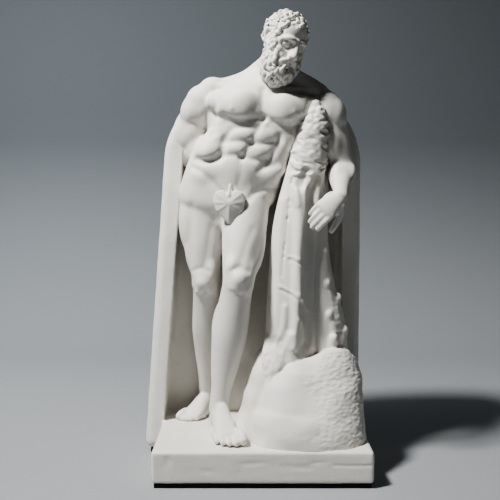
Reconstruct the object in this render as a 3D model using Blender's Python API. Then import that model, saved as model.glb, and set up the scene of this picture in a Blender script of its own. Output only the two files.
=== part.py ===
"""A cast plaster statuette: a standing bearded man beside a draped tree stump and a rock,
on an oblong plinth, with a round-topped slab behind, and the thin pad under it.

The figure is drawn in millimetres above the plinth's top. Masses of clay are laid along
bones, run together, smoothed and creased, then joined to the plinth and the slab.
X is to the viewer's right, -Y is the front, Z is up. The origin is under the plinth's middle.
"""
import math

import bmesh
import bpy
import numpy as np
from mathutils import Matrix, Vector, noise

for old in list(bpy.data.objects):
    bpy.data.objects.remove(old)

# Named sizes, in millimetres
MM = 0.001
TOTAL_TALL = 300.0
PAD_TALL = 3.0
PAD_INSET = 1.5
GAP = 0.3
PLINTH_WIDE, PLINTH_DEEP, PLINTH_TALL = 136.0, 91.0, 20.0
PLINTH_BACK = 46.0
PLINTH_EDGE = 1.8
SLAB_FRONT, SLAB_BACK = 22.0, 56.0
SLAB_LEFT_FOOT, SLAB_LEFT, SLAB_RIGHT = -81.0, -66.5, 67.8
SLAB_SPRING, SLAB_RISE = 178.0, 57.0
SLAB_EDGE = 6.0
NICHE_RIM, NICHE_BACK, NICHE_EDGE = 13.0, 47.0, 4.0
NICHE_SINK, NICHE_CLEAR = 10.0, 12.0
HEEL_SIDE, HEEL_BACK, PAD_EDGE = 4.0, 3.0, 0.4
GRAIN, FINE_GRAIN, ROCK_GRAIN = 0.9, 0.7, 1.2
HAIR_CURLS, BEARD_CURLS, CURL = 120, 90, 2.3
CLOTH_GATHERS = 34
TRIANGLES = 7600

PLINTH_TOP = PAD_TALL + PLINTH_TALL
FIGURE_TALL = TOTAL_TALL - PLINTH_TOP
FRONT = Vector((0, -1, 0))
LEAN = (0.16, 0, 1)

# Joints of the figure. His right side is the viewer's left.
HIP_R, KNEE_R, ANKLE_R = (-39.5, 17, 153), (-37.2, 13, 98), (-38.5, 42, 20)
HIP_L, KNEE_L, ANKLE_L = (-9.5, 12, 151), (-15.2, -11, 100), (-28.0, -1, 20)
SHOULDER_R, ELBOW_R, WRIST_R = (-37.5, 20, 218), (-58.0, 32, 189), (-32, 38, 171)
SHOULDER_L, ELBOW_L, WRIST_L = (42, 12, 216), (52.5, 11, 173), (49.5, -17, 155)
HEAD_PLACE, HEAD_TURN, HEAD_NOD, HEAD_TILT = (14.5, 2, FIGURE_TALL - 22.6), 30.0, 24.0, 13.0
HEAD_SIZE = 0.96

# Muscles along a bone: share of its length, outwards, forwards, half sizes (out, front, along)
THIGH = (
    (0.42, 1.0, 6.0, (7.5, 7.5, 24)), (0.50, 7.0, 1.5, (6.6, 8.5, 24)),
    (0.84, -5.0, 5.0, (4.9, 5.4, 10)), (0.80, 5.0, 5.0, (4.2, 4.4, 11)),
    (0.28, -6.0, 1.0, (7, 9, 20)), (0.50, 0, -7.5, (9.5, 7.5, 25)), (0.10, 3.0, 4.0, (8, 7, 13)),
)
CALF = (
    (0.36, -4.6, -4.6, (6.6, 7.4, 19)), (0.33, 4.9, -4.0, (6.0, 7.0, 18)),
    (0.40, 4.0, 2.6, (4.4, 4.8, 22)), (0.56, -3.8, -2.0, (4.2, 5.2, 18)),
    (0.58, 4.2, -2.6, (3.8, 5.0, 18)), (0.85, 0, -5.4, (2.6, 2.8, 14)), (0.08, 0, 5.6, (3.2, 3, 5.5)),
)
UPPER_ARM = (
    (0.18, 4.0, 0.0, (6.8, 9.0, 13)), (0.12, 1.0, 4.0, (7, 6.5, 11)), (0.10, 1.5, -4.0, (7, 6.5, 11)),
    (0.58, -1.0, 4.2, (6.2, 6.4, 14)), (0.52, 1.0, -4.4, (6.4, 6.0, 15)), (0.70, 4.0, 0.6, (3.6, 4.4, 9)),
)
FOREARM = (
    (0.16, 3.4, 2.4, (4.6, 5.0, 12)), (0.22, -3.0, 1.5, (4.6, 5.2, 13)), (0.25, 0.5, -3.2, (4.6, 4.2, 14)),
)

# Limb girths: share of the bone, half width, half depth, forwards
THIGH_GIRTHS = ((-0.10, 13.5, 14, 0), (0.2, 13.6, 14, 0), (0.5, 12.8, 12.8, 0.5), (0.8, 10.6, 10.6, 0),
                (1.0, 9.3, 9.8, 0))
CALF_GIRTHS = ((0.08, 9.2, 9.2, -0.8), (0.25, 9.9, 9.8, -1.8), (0.44, 10.6, 10, -2.0),
               (0.6, 9.4, 8.8, -1.4),
               (0.76, 7.8, 7.4, -0.8), (0.9, 6.2, 6.6, -0.2), (1.08, 5.6, 6.4, 0))
UPPER_ARM_GIRTHS = ((-0.02, 8.5, 9, 0), (0.3, 7.8, 8.4, 0), (0.65, 7.4, 8.2, 0), (0.92, 6.8, 7.0, 0),
                    (1.02, 6, 6.2, 0))
FOREARM_GIRTHS = ((-0.04, 6, 6.2, 0), (0.2, 7.6, 7.2, 0), (0.5, 6.2, 5.8, 0), (0.8, 4.6, 4, 0),
                  (1.02, 4.4, 3.4, 0))

# Creases of the front, as (x, z) paths, with breadth and depth
CREASES = (
    (((1.0, 224), (0.6, 214), (1.2, 205)), 1.9, 1.9),
    (((2.0, 205), (-7.2, 185), (-19, 156)), 1.6, 1.5),
    (((1.0, 205.4), (-10, 203.6), (-20, 205.2), (-28, 210)), 1.7, 2.1),
    (((1.5, 205.0), (11, 200.9), (20, 201.0), (27, 206)), 1.7, 2.1),
    (((-22, 201), (-23.5, 193), (-25.5, 184), (-27, 163)), 1.8, 1.5),
    (((13, 198), (10.5, 189), (2.5, 172), (-6, 162)), 1.8, 1.5),
    (((-22, 193.0), (-12, 193.4), (-3.0, 193.2)), 1.5, 1.4),
    (((-3.0, 193.2), (4, 190.4), (11, 190.8)), 1.5, 1.4),
    (((-25, 183.3), (-15, 183.4), (-7.6, 182.6)), 1.5, 1.4),
    (((-7.6, 182.6), (-2, 181.2), (7, 181.6)), 1.5, 1.4),
    (((-28, 173.5), (-19, 173.0), (-13.0, 172)), 1.6, 1.0),
    (((-45, 174), (-37, 170), (-31, 161), (-25.5, 149)), 1.9, 1.9),
    (((14, 170), (6, 165.5), (-5, 157), (-15.5, 147)), 1.9, 1.9),
    (((-31.0, 224), (-29.5, 217), (-31, 210)), 1.7, 1.5),
    (((32.0, 221), (30.5, 215), (32, 208)), 1.7, 1.5),
    (((-46, 150), (-47.5, 135), (-46.5, 118)), 2.0, 0.8),
    (((-33, 135), (-35.5, 120), (-37.5, 110)), 1.8, 1.0),
    (((-45.5, 105.8), (-40, 107.6), (-34.8, 105.6)), 1.5, 1.0),
    (((-20, 148), (-24, 132), (-22, 116)), 2.0, 0.8),
    (((-6, 134), (-11, 121), (-13.5, 112)), 1.8, 1.0),
    (((-20.5, 107.8), (-14.5, 110.2), (-8.5, 107.6)), 1.5, 1.0),
)


def frame_of(along, front=FRONT):
    """Side, front and along directions, square to each other."""
    w = Vector(along).normalized()
    f = Vector(front)
    f = (f - f.dot(w) * w).normalized()
    return w.cross(f), f, w


def ball(clay, centre, radii, along=(0, 0, 1), front=FRONT, detail=3):
    """An egg of clay. radii are its reach to the side, to the front and along."""
    u, f, w = frame_of(along, front)
    turn = Matrix((u, f, w)).transposed().to_4x4()
    place = Matrix.Translation(centre) @ turn @ Matrix.Diagonal((*radii, 1.0))
    bmesh.ops.create_icosphere(clay, subdivisions=detail, radius=1.0, matrix=place)


def smooth_through(rows, steps):
    """Rows of numbers that run smoothly through the given ones."""
    rows = np.array(rows, float)
    padded = np.vstack([2 * rows[0] - rows[1], rows, 2 * rows[-1] - rows[-2]])
    out = []
    for i in range(len(rows) - 1):
        a, b, c, d = padded[i:i + 4]
        for t in np.arange(steps) / steps:
            curve = 2 * b + (c - a) * t + (2 * a - 5 * b + 4 * c - d) * t**2
            out.append(0.5 * (curve + (3 * b - a - 3 * c + d) * t**3))
    out.append(rows[-1])
    return np.array(out)


def close_tube(clay, rings):
    """Skins rings of points into a closed tube."""
    count = len(rings[0])
    for low, high in zip(rings, rings[1:]):
        for k in range(count):
            clay.faces.new((low[k], low[(k + 1) % count], high[(k + 1) % count], high[k]))
    clay.faces.new(rings[0][::-1])
    clay.faces.new(rings[-1])


def tube(clay, stations, front=FRONT, sides=20, steps=5, square=2.0, ends=True):
    """A limb of clay through stations (x, y, z, half width, half depth)."""
    rows = smooth_through([s if len(s) == 5 else (*s, s[3]) for s in stations], steps)
    places = rows[:, :3]
    tangents = np.gradient(places, axis=0)
    power = 2.0 / square
    rings = []
    for place, tangent, (width, depth) in zip(places, tangents, rows[:, 3:]):
        u, f, _ = frame_of(tangent, front)
        ring = []
        for k in range(sides):
            c = math.cos(2 * math.pi * k / sides)
            s = math.sin(2 * math.pi * k / sides)
            a = math.copysign(abs(c) ** power, c) * width
            b = math.copysign(abs(s) ** power, s) * depth
            ring.append(clay.verts.new(Vector(place) + u * a + f * b))
        rings.append(ring)
    close_tube(clay, rings)
    if ends:
        for i in (0, -1):
            width, depth = rows[i, 3:]
            ball(clay, places[i], (width, depth, 0.8 * min(width, depth)), tangents[i], front)


class Bone:
    """A limb's line from a to b. side is +1 for his right and -1 for his left."""

    def __init__(self, a, b, side, front):
        self.a, self.b = Vector(a), Vector(b)
        self.axis = (self.b - self.a).normalized()
        across, self.front, _ = frame_of(self.axis, front)
        self.outer = across * side

    def at(self, share, outer=0.0, front=0.0):
        return self.a.lerp(self.b, share) + self.outer * outer + self.front * front

    def stations(self, girths, heft):
        return [(*self.at(share, 0, front), wide * heft, deep * heft) for share, wide, deep, front in girths]

    def muscles(self, clay, table, heft):
        for share, outer, front, (wide, deep, tall) in table:
            place = self.at(share, outer * heft, front * heft)
            ball(clay, place, (wide * heft, deep * heft, tall), self.axis, self.front)


def torso(clay):
    """The trunk from the hips to the neck, leaning on its left."""
    tube(clay, [(-24, 14, 139, 15, 12), (-24, 15, 148, 28.5, 16), (-23, 15, 158, 31, 16.5),
                (-19, 15, 167, 32, 17),
                (-14, 14.5, 178, 30.5, 16.5), (-8.5, 14, 187, 28.5, 16), (-4.5, 14, 196, 28.5, 16.5),
                (-1.5, 15, 206, 30, 18), (0.5, 15, 214, 31, 17.5), (2, 16, 222, 27, 15),
                (3, 17, 230, 16, 11.5),
                (5, 16, 236, 10, 10)], square=2.7)
    ball(clay, (-4, 14.5, 206), (29, 18.5, 23), LEAN)
    for side, middle, low in ((-1, -1.5, 213), (1, 3.5, 211)):
        # a chest plate that runs out to the armpit
        tube(clay, [(middle, 2, low + 0.5, 7.5, 3.5), (middle + 9.3 * side, 0.5, low, 11, 7),
                    (middle + 18.5 * side, 2, low, 9.5, 7), (middle + 28.5 * side, 8.3, low + 4.7, 6.5, 7)],
             steps=4, square=2.4)
    # belly, in pairs from the ribs down
    for row in range(3):
        for side in (-1, 1):
            x = -4.0 - 5.5 * row + 8.2 * side
            z = 196.8 - 9.6 * row - 1.4 * side
            ball(clay, (x, 2.2, z), (7.8 - 0.4 * row, 4.4, 5.1 - 0.2 * row), LEAN)
    ball(clay, (-17.5, 4, 167), (15, 7.5, 13), (0.1, 0, 1))
    ball(clay, (-20.5, 5, 154), (10, 7, 8))
    # flanks, hips and seat
    for x, y, z, radii, lean in ((-35, 9.5, 181.5, (8.5, 10.5, 7.6), -0.25),
                                 (-29, 4, 176.5, (8, 6.5, 9), -0.3),
                                 (10.5, 9.5, 174.5, (7.6, 9.5, 7.2), 0.3), (3, 4.8, 171, (8, 6.5, 9), 0.5),
                                 (-41, 15, 162, (13, 14, 14), 0), (-4, 13, 159, (14.5, 14, 13), 0),
                                 (-38, 24, 156, (15, 13, 15), 0), (-10, 22, 153, (14.5, 13, 14.5), 0)):
        ball(clay, (x, y, z), radii, (lean, 0, 1))
    # ribs' lower edge, back muscles and shoulder blades, a side at a time
    for side, out in ((-1, -31), (1, 28.5)):
        tube(clay, [(out * 0.12, 1.5, 204, 3, 3), (out * 0.48, 2, 201, 4, 3.4),
                    (out * 0.76, 5, 193, 4.8, 4),
                    (out * 0.85, 10, 182.5, 4, 4)], steps=3)
        tube(clay, [(out, 18.5, 214, 6, 9), (out, 18.5, 205, 6.5, 10), (out * 0.91, 17.5, 194, 5, 9),
                    (out * 0.75, 16.5, 184, 4, 8)])
        ball(clay, (1.5 + 18.5 * side, 28.5, 212), (11, 6, 12), (-0.3 * side, 0, 1))
        x = -4 + 6 * side
        tube(clay, [(x - 8, 28, 165, 5, 5), (x - 3, 27, 185, 5.5, 5), (x + 4, 29, 205, 6, 5),
                    (x + 7, 28, 225, 5, 5)])
    # neck, its slopes and the collar bones
    tube(clay, [(4, 17, 222, 13, 12), (6, 15.5, 234, 11.5, 11.5), (10, 12, 244, 11, 11),
                (13, 8, 252, 10.5, 11)])
    tube(clay, [(5, 17, 242, 8, 7), (-7, 19.5, 230.5, 10, 8), (-20, 20, 226, 9.5, 8), (-33, 20, 224, 9, 8)])
    ball(clay, (-32.5, 19, 225.5), (10, 9.5, 9.4))
    ball(clay, (-39.5, 19, 218.5), (11.4, 10.5, 11.4))
    tube(clay, [(13, 16, 240, 8, 7), (20, 18, 231, 10, 8), (30, 16, 225.5, 9.5, 8),
                (38, 13.5, 221, 8.5, 8)])
    tube(clay, [(-1, 4.5, 225.5, 2.4), (-14, 6, 226.5, 2.1), (-27, 11.5, 227.5, 2.3), (-36, 16, 227, 3)])
    tube(clay, [(6, 4.5, 225, 2.4), (17, 5, 224.8, 2.1), (29, 8.5, 224.2, 2.3), (38, 10.5, 222.5, 3)])
    # the hollows over the collar bones are filled to the shoulders
    for out, top in ((-29, 222.0), (34, 219.5)):
        ball(clay, (out, 16.5, top), (9, 8, 6.5))


def leg(clay, hip, knee, ankle, side, front, heft):
    thigh, calf = Bone(hip, knee, side, front), Bone(knee, ankle, side, front)
    tube(clay, thigh.stations(THIGH_GIRTHS, heft) + calf.stations(CALF_GIRTHS, heft), front=front)
    thigh.muscles(clay, THIGH, heft)
    calf.muscles(clay, CALF, heft)
    # the knee cap and the pads under it
    ahead = (thigh.front + calf.front).normalized()
    k = Vector(knee)
    ball(clay, k + ahead * 8.2 * heft + Vector((0, 0, 1.5)), (4.7 * heft, 3.4, 5.2), (0, 0, 1), ahead)
    for out in (-1, 1):
        pad = k + ahead * 6.8 * heft + thigh.outer * out * 3.4 * heft - Vector((0, 0, 4.5))
        ball(clay, pad, (2.6, 2.8, 3.2), (0, 0, 1), ahead)
        ball(clay, k + thigh.outer * out * 6.4 * heft + ahead * 1.5, (3, 5.5, 6.5), (0, 0, 1), ahead)
        ball(clay, calf.at(1.0 + 0.025 * out, 4.4 * out, -0.3), (2.2, 2.8, 3.2))
    # the shin's edge
    tube(clay, [(*calf.at(0.10, -0.5, 6.2 * heft), 2.2), (*calf.at(0.4, -1.2, 5.6 * heft), 1.7),
                (*calf.at(0.8, -1.0, 4.0), 1.6)])


def arm(clay, shoulder, elbow, wrist, side, upper_front, fore_front, heft):
    upper, fore = Bone(shoulder, elbow, side, upper_front), Bone(elbow, wrist, side, fore_front)
    tube(clay, upper.stations(UPPER_ARM_GIRTHS, heft), front=upper_front)
    tube(clay, fore.stations(FOREARM_GIRTHS, heft), front=fore_front)
    upper.muscles(clay, UPPER_ARM, heft)
    fore.muscles(clay, FOREARM, heft)
    ball(clay, Vector(elbow) - upper.front * 3.2 + upper.axis * 2.5, (3.2, 3.2, 3.6))


def foot(clay, ankle, turn, side, size):
    """A bare foot flat on the plinth. turn swings its toes from the front, in degrees."""
    a = math.radians(turn)
    ahead = Vector((math.sin(a), -math.cos(a), 0))
    across = Vector((math.cos(a), math.sin(a), 0)) * side
    ground = Vector((ankle[0], ankle[1], 0))

    def at(forward, out, up):
        return ground + (ahead * forward + across * out) * size + Vector((0, 0, up * size))

    ball(clay, at(-5.5, 0, 6.6), (5.4, 5.6, 7.2), (0, 0, 1), ahead)
    tube(clay, [(*at(-3, 0, 9), 5.6, 7), (*at(5, 0.2, 9), 6.2, 8.4), (*at(13, 0.6, 6.6), 7, 6.6),
                (*at(20, 0.9, 4.6), 7.8, 4.6), (*at(25, 0.9, 3.6), 7.8, 3.6)], front=(0, 0, 1), square=2.2)
    tube(clay, [(*at(-2, 0.2, 18), 5.2, 6), (*at(4, 0, 14.5), 4.8, 5.5),
                (*at(12, -0.8, 9.6), 4.4, 3.6)], front=(0, 0, 1))
    ball(clay, at(22, -5.2, 3.7), (3.9, 4.4, 3.9), (0, 0, 1), ahead)
    ball(clay, at(17, 5.8, 3.2), (3.6, 6.5, 3.3), (0, 0, 1), ahead)
    # toes: outwards, start, reach, half thickness
    for out, start, reach, r in ((-5.6, 25, 10, 3.0), (-1.5, 26.5, 8.2, 2.05), (2, 26, 7.2, 1.95),
                                 (5.1, 24.6, 6.2, 1.85), (7.9, 22.2, 5.2, 1.8)):
        tube(clay, [(*at(start - 1, out, r * 1.75 + 0.6), r),
                    (*at(start + reach * 0.45, out, r * 1.75), r * 0.96),
                    (*at(start + reach - r * 0.7, out, r * 1.02), r)], steps=3, front=(0, 0, 1), sides=12)


def hand(clay, wrist, reach, palm, curls, size):
    """A hand that points along reach with its palm turned to palm."""
    across, down, ahead = frame_of(reach, palm)

    def at(forward, out, under=0.0):
        return Vector(wrist) + (ahead * forward + across * out + down * under) * size

    tube(clay, [(*at(-1, 0), 4.4, 3.3), (*at(4, 0), 5.2, 3.2), (*at(9, 0), 6.6, 3.3),
                (*at(14, -0.2), 7.2, 2.9)],
         front=down, steps=3)
    for out in (-1, 1):
        ball(clay, at(6, 4.4 * out, 1.5), (3.2, 2.9, 6), ahead, down)
    for k, length in enumerate((13.5, 15.0, 14.0, 11.2)):
        place = at(12.6 + 0.9 * (k in (1, 2)), 5.4 - 3.55 * k)
        heading = ahead.copy()
        thick = (2.05, 2.1, 2.0, 1.8)[k] * size
        rows = [(*place, thick)]
        for part, bend in ((0.42, 0.8), (0.32, 1.2), (0.26, 0.8)):
            a = curls[k] * bend
            heading = (heading * math.cos(a) + down * math.sin(a)).normalized()
            place = place + heading * length * part * size
            thick *= 0.94
            rows.append((*place, thick))
        tube(clay, rows, steps=3, sides=12, front=across)
    thumb = [at(3, 4.5, 1.2), at(9.5, 9.3, 4.0), at(14.6, 11.0, 5.6), at(18.4, 11.9, 6.8)]
    tube(clay, [(*p, r * size) for p, r in zip(thumb, (2.8, 2.3, 2.1, 1.8))], steps=3, sides=12, front=down)


LEAF_PLACE = (-21.2, -8.0, 150.5)
# The leaf's outline: angle from the top in degrees, reach. It has a notch at the stalk and a tip below.
LEAF_OUTLINE = ((0, 5.6), (14, 7.6), (30, 10.2), (50, 11.2), (72, 10.6), (95, 9.6), (115, 9.6),
                (135, 9.2), (155, 9.8),
                (170, 11.8), (180, 13.2))
LEAF_VEINS = (0, 52, 86, 122, 180)
LEAF_DOME, LEAF_SINK = 2.2, 4.5


def leaf(clay):
    """The leaf: a domed, heart-shaped sheet with raised veins and a short stalk."""
    around, across = 60, 7
    middle = Vector(LEAF_PLACE)
    rings = []
    for side, rows in ((1, range(1, across + 1)), (-1, range(across, 0, -1))):
        for row in rows:
            t = row / across
            ring = []
            for k in range(around):
                angle = 360 * k / around
                fold = min(angle, 360 - angle)
                reach = float(np.interp(fold, *zip(*LEAF_OUTLINE)))
                vein = max(math.exp(-((fold - at) * t / 3.0) ** 2) for at in LEAF_VEINS)
                dome = LEAF_DOME * (1 - 1.1 * t * t) + 0.5 * vein
                a = math.radians(angle)
                depth = -dome if side > 0 else LEAF_SINK
                offset = Vector((math.sin(a) * reach * t, depth, math.cos(a) * reach * t))
                ring.append(clay.verts.new(middle + offset))
            rings.append(ring)
    close_tube(clay, rings)
    ball(clay, middle + Vector((0, 4.5, 0)), (6.5, 5.0, 7.0))
    tube(clay, [(*(middle + Vector((0, -1.2, 5))), 1.1), (*(middle + Vector((0.3, 0.6, 8.5))), 1.0),
                (*(middle + Vector((0.8, 4.0, 11.5))), 0.9)], steps=3, sides=12)


def spread(count):
    """Directions spread evenly over a ball."""
    golden = math.pi * (3 - math.sqrt(5))
    for k in range(count):
        z = 1 - 2 * (k + 0.5) / count
        r = math.sqrt(1 - z * z)
        yield Vector((math.cos(golden * k) * r, math.sin(golden * k) * r, z))


def head(clay):
    """The head upright, facing the front, with its middle between the eyes."""
    ball(clay, (0, 2, 4.5), (12.8, 15.6, 14.6))
    ball(clay, (0, -5.8, 7.5), (10.6, 8.4, 8.6))
    tube(clay, [(0, -4.5, 3, 10, 8.6), (0, -5.4, -4, 9, 8.4), (0, -6.2, -10, 8, 8),
                (0, -7.2, -17, 6.2, 6.6)], square=2.3)
    ball(clay, (0, -12, -10.5), (5, 3.6, 4.4))
    for s in (-1, 1):
        ball(clay, (s * 7, -9, -3.4), (3.8, 3.6, 2.8))
        ball(clay, (s * 5.2, -9.8, -8), (3.8, 3.8, 4.8))
        ball(clay, (s * 8.6, -2, -9), (3.4, 7, 6))
        ball(clay, (s * 9.6, -4.5, 0.5), (2.2, 5.5, 6))
        ball(clay, (s * 12.8, 2.4, -0.8), (1.9, 2.6, 4.4))
        ball(clay, (s * 5.2, -10.6, 0), (3, 2.9, 2.6))
        tube(clay, [(s * 0.8, -14.4, 3.2, 1.9), (s * 4.6, -14.2, 4.3, 2.2),
                    (s * 9.4, -10.8, 3, 1.9)], steps=3)
        tube(clay, [(s * 0.5, -16.8, -8.6, 1.6), (s * 3.8, -15.8, -10, 2.1), (s * 6.6, -13.4, -13, 2.2),
                    (s * 8, -11, -16.4, 1.8)], steps=3)
        ball(clay, (s * 2.4, -16, -6.2), (1.6, 2, 1.7))
    tube(clay, [(0, -13.6, 4.6, 2.4), (0, -15, 1.4, 2.1), (0, -17.1, -2.4, 2.3),
                (0, -18.2, -5.6, 2.5)], steps=4)
    ball(clay, (0, -15.4, -12.4), (3.4, 1.9, 1.4))
    # curls of the hair, then of the beard
    for d in spread(HAIR_CURLS):
        p = Vector((14.2 * d.x, 2.4 + 17 * d.y, 5.2 + 15.6 * d.z))
        if p.z > (11 - 0.03 * p.x**2 if p.y < -6 else 3.5 if p.y < 5 else -12):
            ball(clay, p, (CURL, CURL, CURL), detail=1)
    ball(clay, (0, -8.6, -17), (8, 7.6, 7.4))
    for s in (-1, 1):
        tube(clay, [(s * 11.6, -0.5, 3, 2.2, 2.4), (s * 11.4, -2, -6, 3, 3.4), (s * 9, -5.5, -13, 4, 4.5),
                    (s * 4, -9.5, -19, 4.5, 5)])
    for d in spread(BEARD_CURLS):
        p = Vector((12.2 * d.x, -4.6 + 10.8 * d.y, -11.5 + 14 * d.z))
        bare = abs(p.x) < 8.6 + (p.z + 13) * 0.18 and p.z > -14
        if p.y < 3 and p.z < 3 and not (bare and p.y < 0):
            ball(clay, p, (CURL + 0.1, CURL + 0.1, CURL + 0.1), detail=1)


CLOTH_LEVELS = ((19, 3, 38, 19, 18), (19, 2, 58, 15.5, 16), (20, 2, 95, 14.5, 15), (23, 3, 138, 14, 12.5),
                (30.8, 4.5, 178, 11.8, 10), (34.2, 3.5, 202, 8.2, 8), (35.2, 4, 214, 5, 5))
# Broad folds of the cloth: angle at the foot and at the top (90 is the front), breadth, rise
CLOTH_FOLDS = ((196, 184, 17, 1.6), (166, 168, 14, 1.4), (142, 152, 13, 0.8), (84, 100, 15, 1.2),
               (42, 66, 12, -1.6),
               (20, 40, 12, 1.2))


def cloth_at(z):
    """The cloth's middle x and y, half width and half depth at a height."""
    levels = np.array(CLOTH_LEVELS, float)
    return [float(np.interp(z, levels[:, 2], levels[:, k])) for k in (0, 1, 3, 4)]


def cloth(clay):
    """The cloth over the stump: a hanging tube whose wall runs in folds."""
    sides = 72
    rings = []
    for x, y, z, wide, deep in smooth_through(CLOTH_LEVELS, 8):
        up = (z - 38) / 175
        ring = []
        for k in range(sides):
            angle = 360 * k / sides
            swell = 0.0
            for foot_angle, top_angle, breadth, rise in CLOTH_FOLDS:
                mid = foot_angle + (top_angle - foot_angle) * up + 2.5 * math.sin(z * 0.05 + foot_angle)
                gap = (angle - mid + 180) % 360 - 180
                swell += rise * (1.1 - 0.45 * up) * math.exp(-(gap / breadth) ** 2)
            a = math.radians(angle)
            place = (x + math.cos(a) * (wide + swell), y - math.sin(a) * (deep + swell), z)
            ring.append(clay.verts.new(place))
        rings.append(ring)
    close_tube(clay, rings)


def gathers(clay):
    """The crumpled folds of the cloth bunched under the arm."""
    rng = np.random.default_rng(3)
    for i in range(CLOTH_GATHERS):
        z = 211.0 - 1.24 * i
        mid_x, mid_y, wide, deep = cloth_at(z)
        middle = (0.5, -0.45, 0.05, -0.75, 0.75)[i % 5] + rng.uniform(-0.15, 0.15)
        half = rng.uniform(3.0, 5.2) * min(1.0, wide / 10)
        slope = math.tan(math.radians(rng.uniform(-38, 22)))
        bow = rng.uniform(-1.4, 1.8)
        phase = rng.uniform(0, 6.28)
        fade = min(1.0, 0.55 + (z - 168) / 30)
        rows = []
        for k in range(7):
            t = -1 + k / 3
            x = mid_x + wide * middle * 0.85 + half * t
            over = min(0.96, abs(x - mid_x) / (wide + 1))
            y = mid_y - (deep + 0.9) * math.sqrt(1 - over * over)
            rows.append((x, y, z + slope * half * t - bow * (1 - t * t) + 0.7 * math.sin(phase + 2.6 * t),
                         fade * (1.9 * (1 - 0.6 * t * t) + 0.25 * math.sin(phase + 3 * t))))
        tube(clay, rows, steps=3, sides=10)
    for x, z, r in ((35, 214, 3.4), (38.5, 210, 3.0), (32.5, 210, 2.8), (36.5, 206.5, 3.2)):
        ball(clay, (x, 0.6 - 0.2 * (213 - z), z), (r, r * 0.9, r * 1.1))


# Knots where twigs were cut off the stump: x, z and half size
KNOTS = ((41.5, 119, 2.2), (43.0, 98, 2.4), (51.6, 88, 2.8), (44, 78, 2.4), (55.5, 66.5, 3.0),
         (47, 62, 2.6))


def stump(clay):
    """The tree stump behind the cloth, with its knots."""
    tube(clay, [(42, 11, 34, 18, 16), (42.5, 10, 54, 15.5, 15), (42, 9, 72, 13.5, 13.5),
                (40, 9, 86, 11.5, 12.5),
                (38.2, 9, 100, 9.6, 11.5), (37, 9.5, 119, 7.8, 10.5), (36.5, 10, 138, 7.6, 10.5),
                (36, 11, 175, 8, 8),
                (36, 12, 205, 6, 6)], square=2.3)
    for x, z, r in KNOTS:
        middle, wide = 38.5 + 3.5 * (110 - z) / 40, 10.0 + 4.5 * (110 - z) / 40
        over = max(-0.9, min(0.97, (x - middle) / wide))
        out = Vector((over, -math.sqrt(1 - over * over), 0))
        place = Vector((x, 9 + out.y * wide, z))
        ball(clay, place - out * r * 0.3, (r * 1.1, r * 0.9, r * 1.3), (0.1, 0, 1), out)
        ball(clay, place - out * r * 0.8 - Vector((0, 0, r)), (r * 1.5, r, r * 2.6), (0, 0, 1), out)


def boulder(clay):
    """The rock: a blocky mass with a round-edged top, its left side running down to the ground."""
    tube(clay, [(29, -3, -6, 38.8, 41), (29, -3, 3, 38.6, 40), (30, -1.5, 10, 37.2, 36.5),
                (31, 1, 20, 36, 33.5),
                (31.8, 3.5, 29, 35, 31), (32.3, 5.5, 36, 34, 29), (32, 7, 41.5, 31, 26),
                (31, 8.5, 45.6, 24.5, 20.5),
                (30, 9, 47.6, 14, 12)], square=2.9, ends=False, sides=56)
    ball(clay, (46, 0, 27), (20, 29.5, 15))
    ball(clay, (20, -4, 18), (21, 29, 20))
    # the skirt on its left, which runs down behind the foot
    tube(clay, [(8, 5, 53, 4, 8), (5, 3, 48.5, 8.5, 14), (2, 0, 36, 10.5, 18), (-0.5, -1, 20, 12, 19),
                (-5, -2, 4, 12.5, 20), (-7, -2, -4, 13, 20)], square=2.3, ends=False, sides=40)


def cloth_corner(clay):
    """The cloth's end, spilt over the rock's left shoulder."""
    tube(clay, [(15, 1, 72, 9, 5), (11.5, -4, 61, 10, 4.5), (8.5, -11.5, 51, 9, 4),
                (6.8, -16, 42, 6.6, 3.2),
                (6.2, -19, 34.5, 3.4, 1.9)], front=(0, -1, 0.45), square=2.3)


def to_object(clay, name):
    mesh = bpy.data.meshes.new(name)
    bmesh.ops.recalc_face_normals(clay, faces=clay.faces)
    clay.to_mesh(mesh)
    clay.free()
    obj = bpy.data.objects.new(name, mesh)
    bpy.context.scene.collection.objects.link(obj)
    return obj


def settle(obj):
    """Makes the modifiers' result the object's own mesh."""
    graph = bpy.context.evaluated_depsgraph_get()
    mesh = bpy.data.meshes.new_from_object(obj.evaluated_get(graph))
    obj.modifiers.clear()
    obj.data = mesh


def run_together(obj, grain):
    m = obj.modifiers.new("grain", "REMESH")
    m.mode = "VOXEL"
    m.voxel_size = grain
    settle(obj)


def read(mesh, items, name, width, kind=np.float32):
    flat = np.empty(len(items) * width, kind)
    items.foreach_get(name, flat)
    return flat.reshape(-1, width)


def write_points(mesh, points):
    mesh.vertices.foreach_set("co", points.astype(np.float32).ravel())
    mesh.update()


def relax(obj, rounds):
    """Draws each point towards the mean of its neighbours."""
    mesh = obj.data
    points = read(mesh, mesh.vertices, "co", 3).astype(float)
    edges = read(mesh, mesh.edges, "vertices", 2, np.int32)
    ends = np.concatenate([edges[:, 0], edges[:, 1]])
    others = np.concatenate([edges[:, 1], edges[:, 0]])
    degree = np.bincount(ends, minlength=len(points))[:, None]
    for _ in range(rounds):
        total = np.column_stack([np.bincount(ends, points[others, k], len(points)) for k in range(3)])
        points += 0.5 * (total / degree - points)
    write_points(mesh, points)


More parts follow.
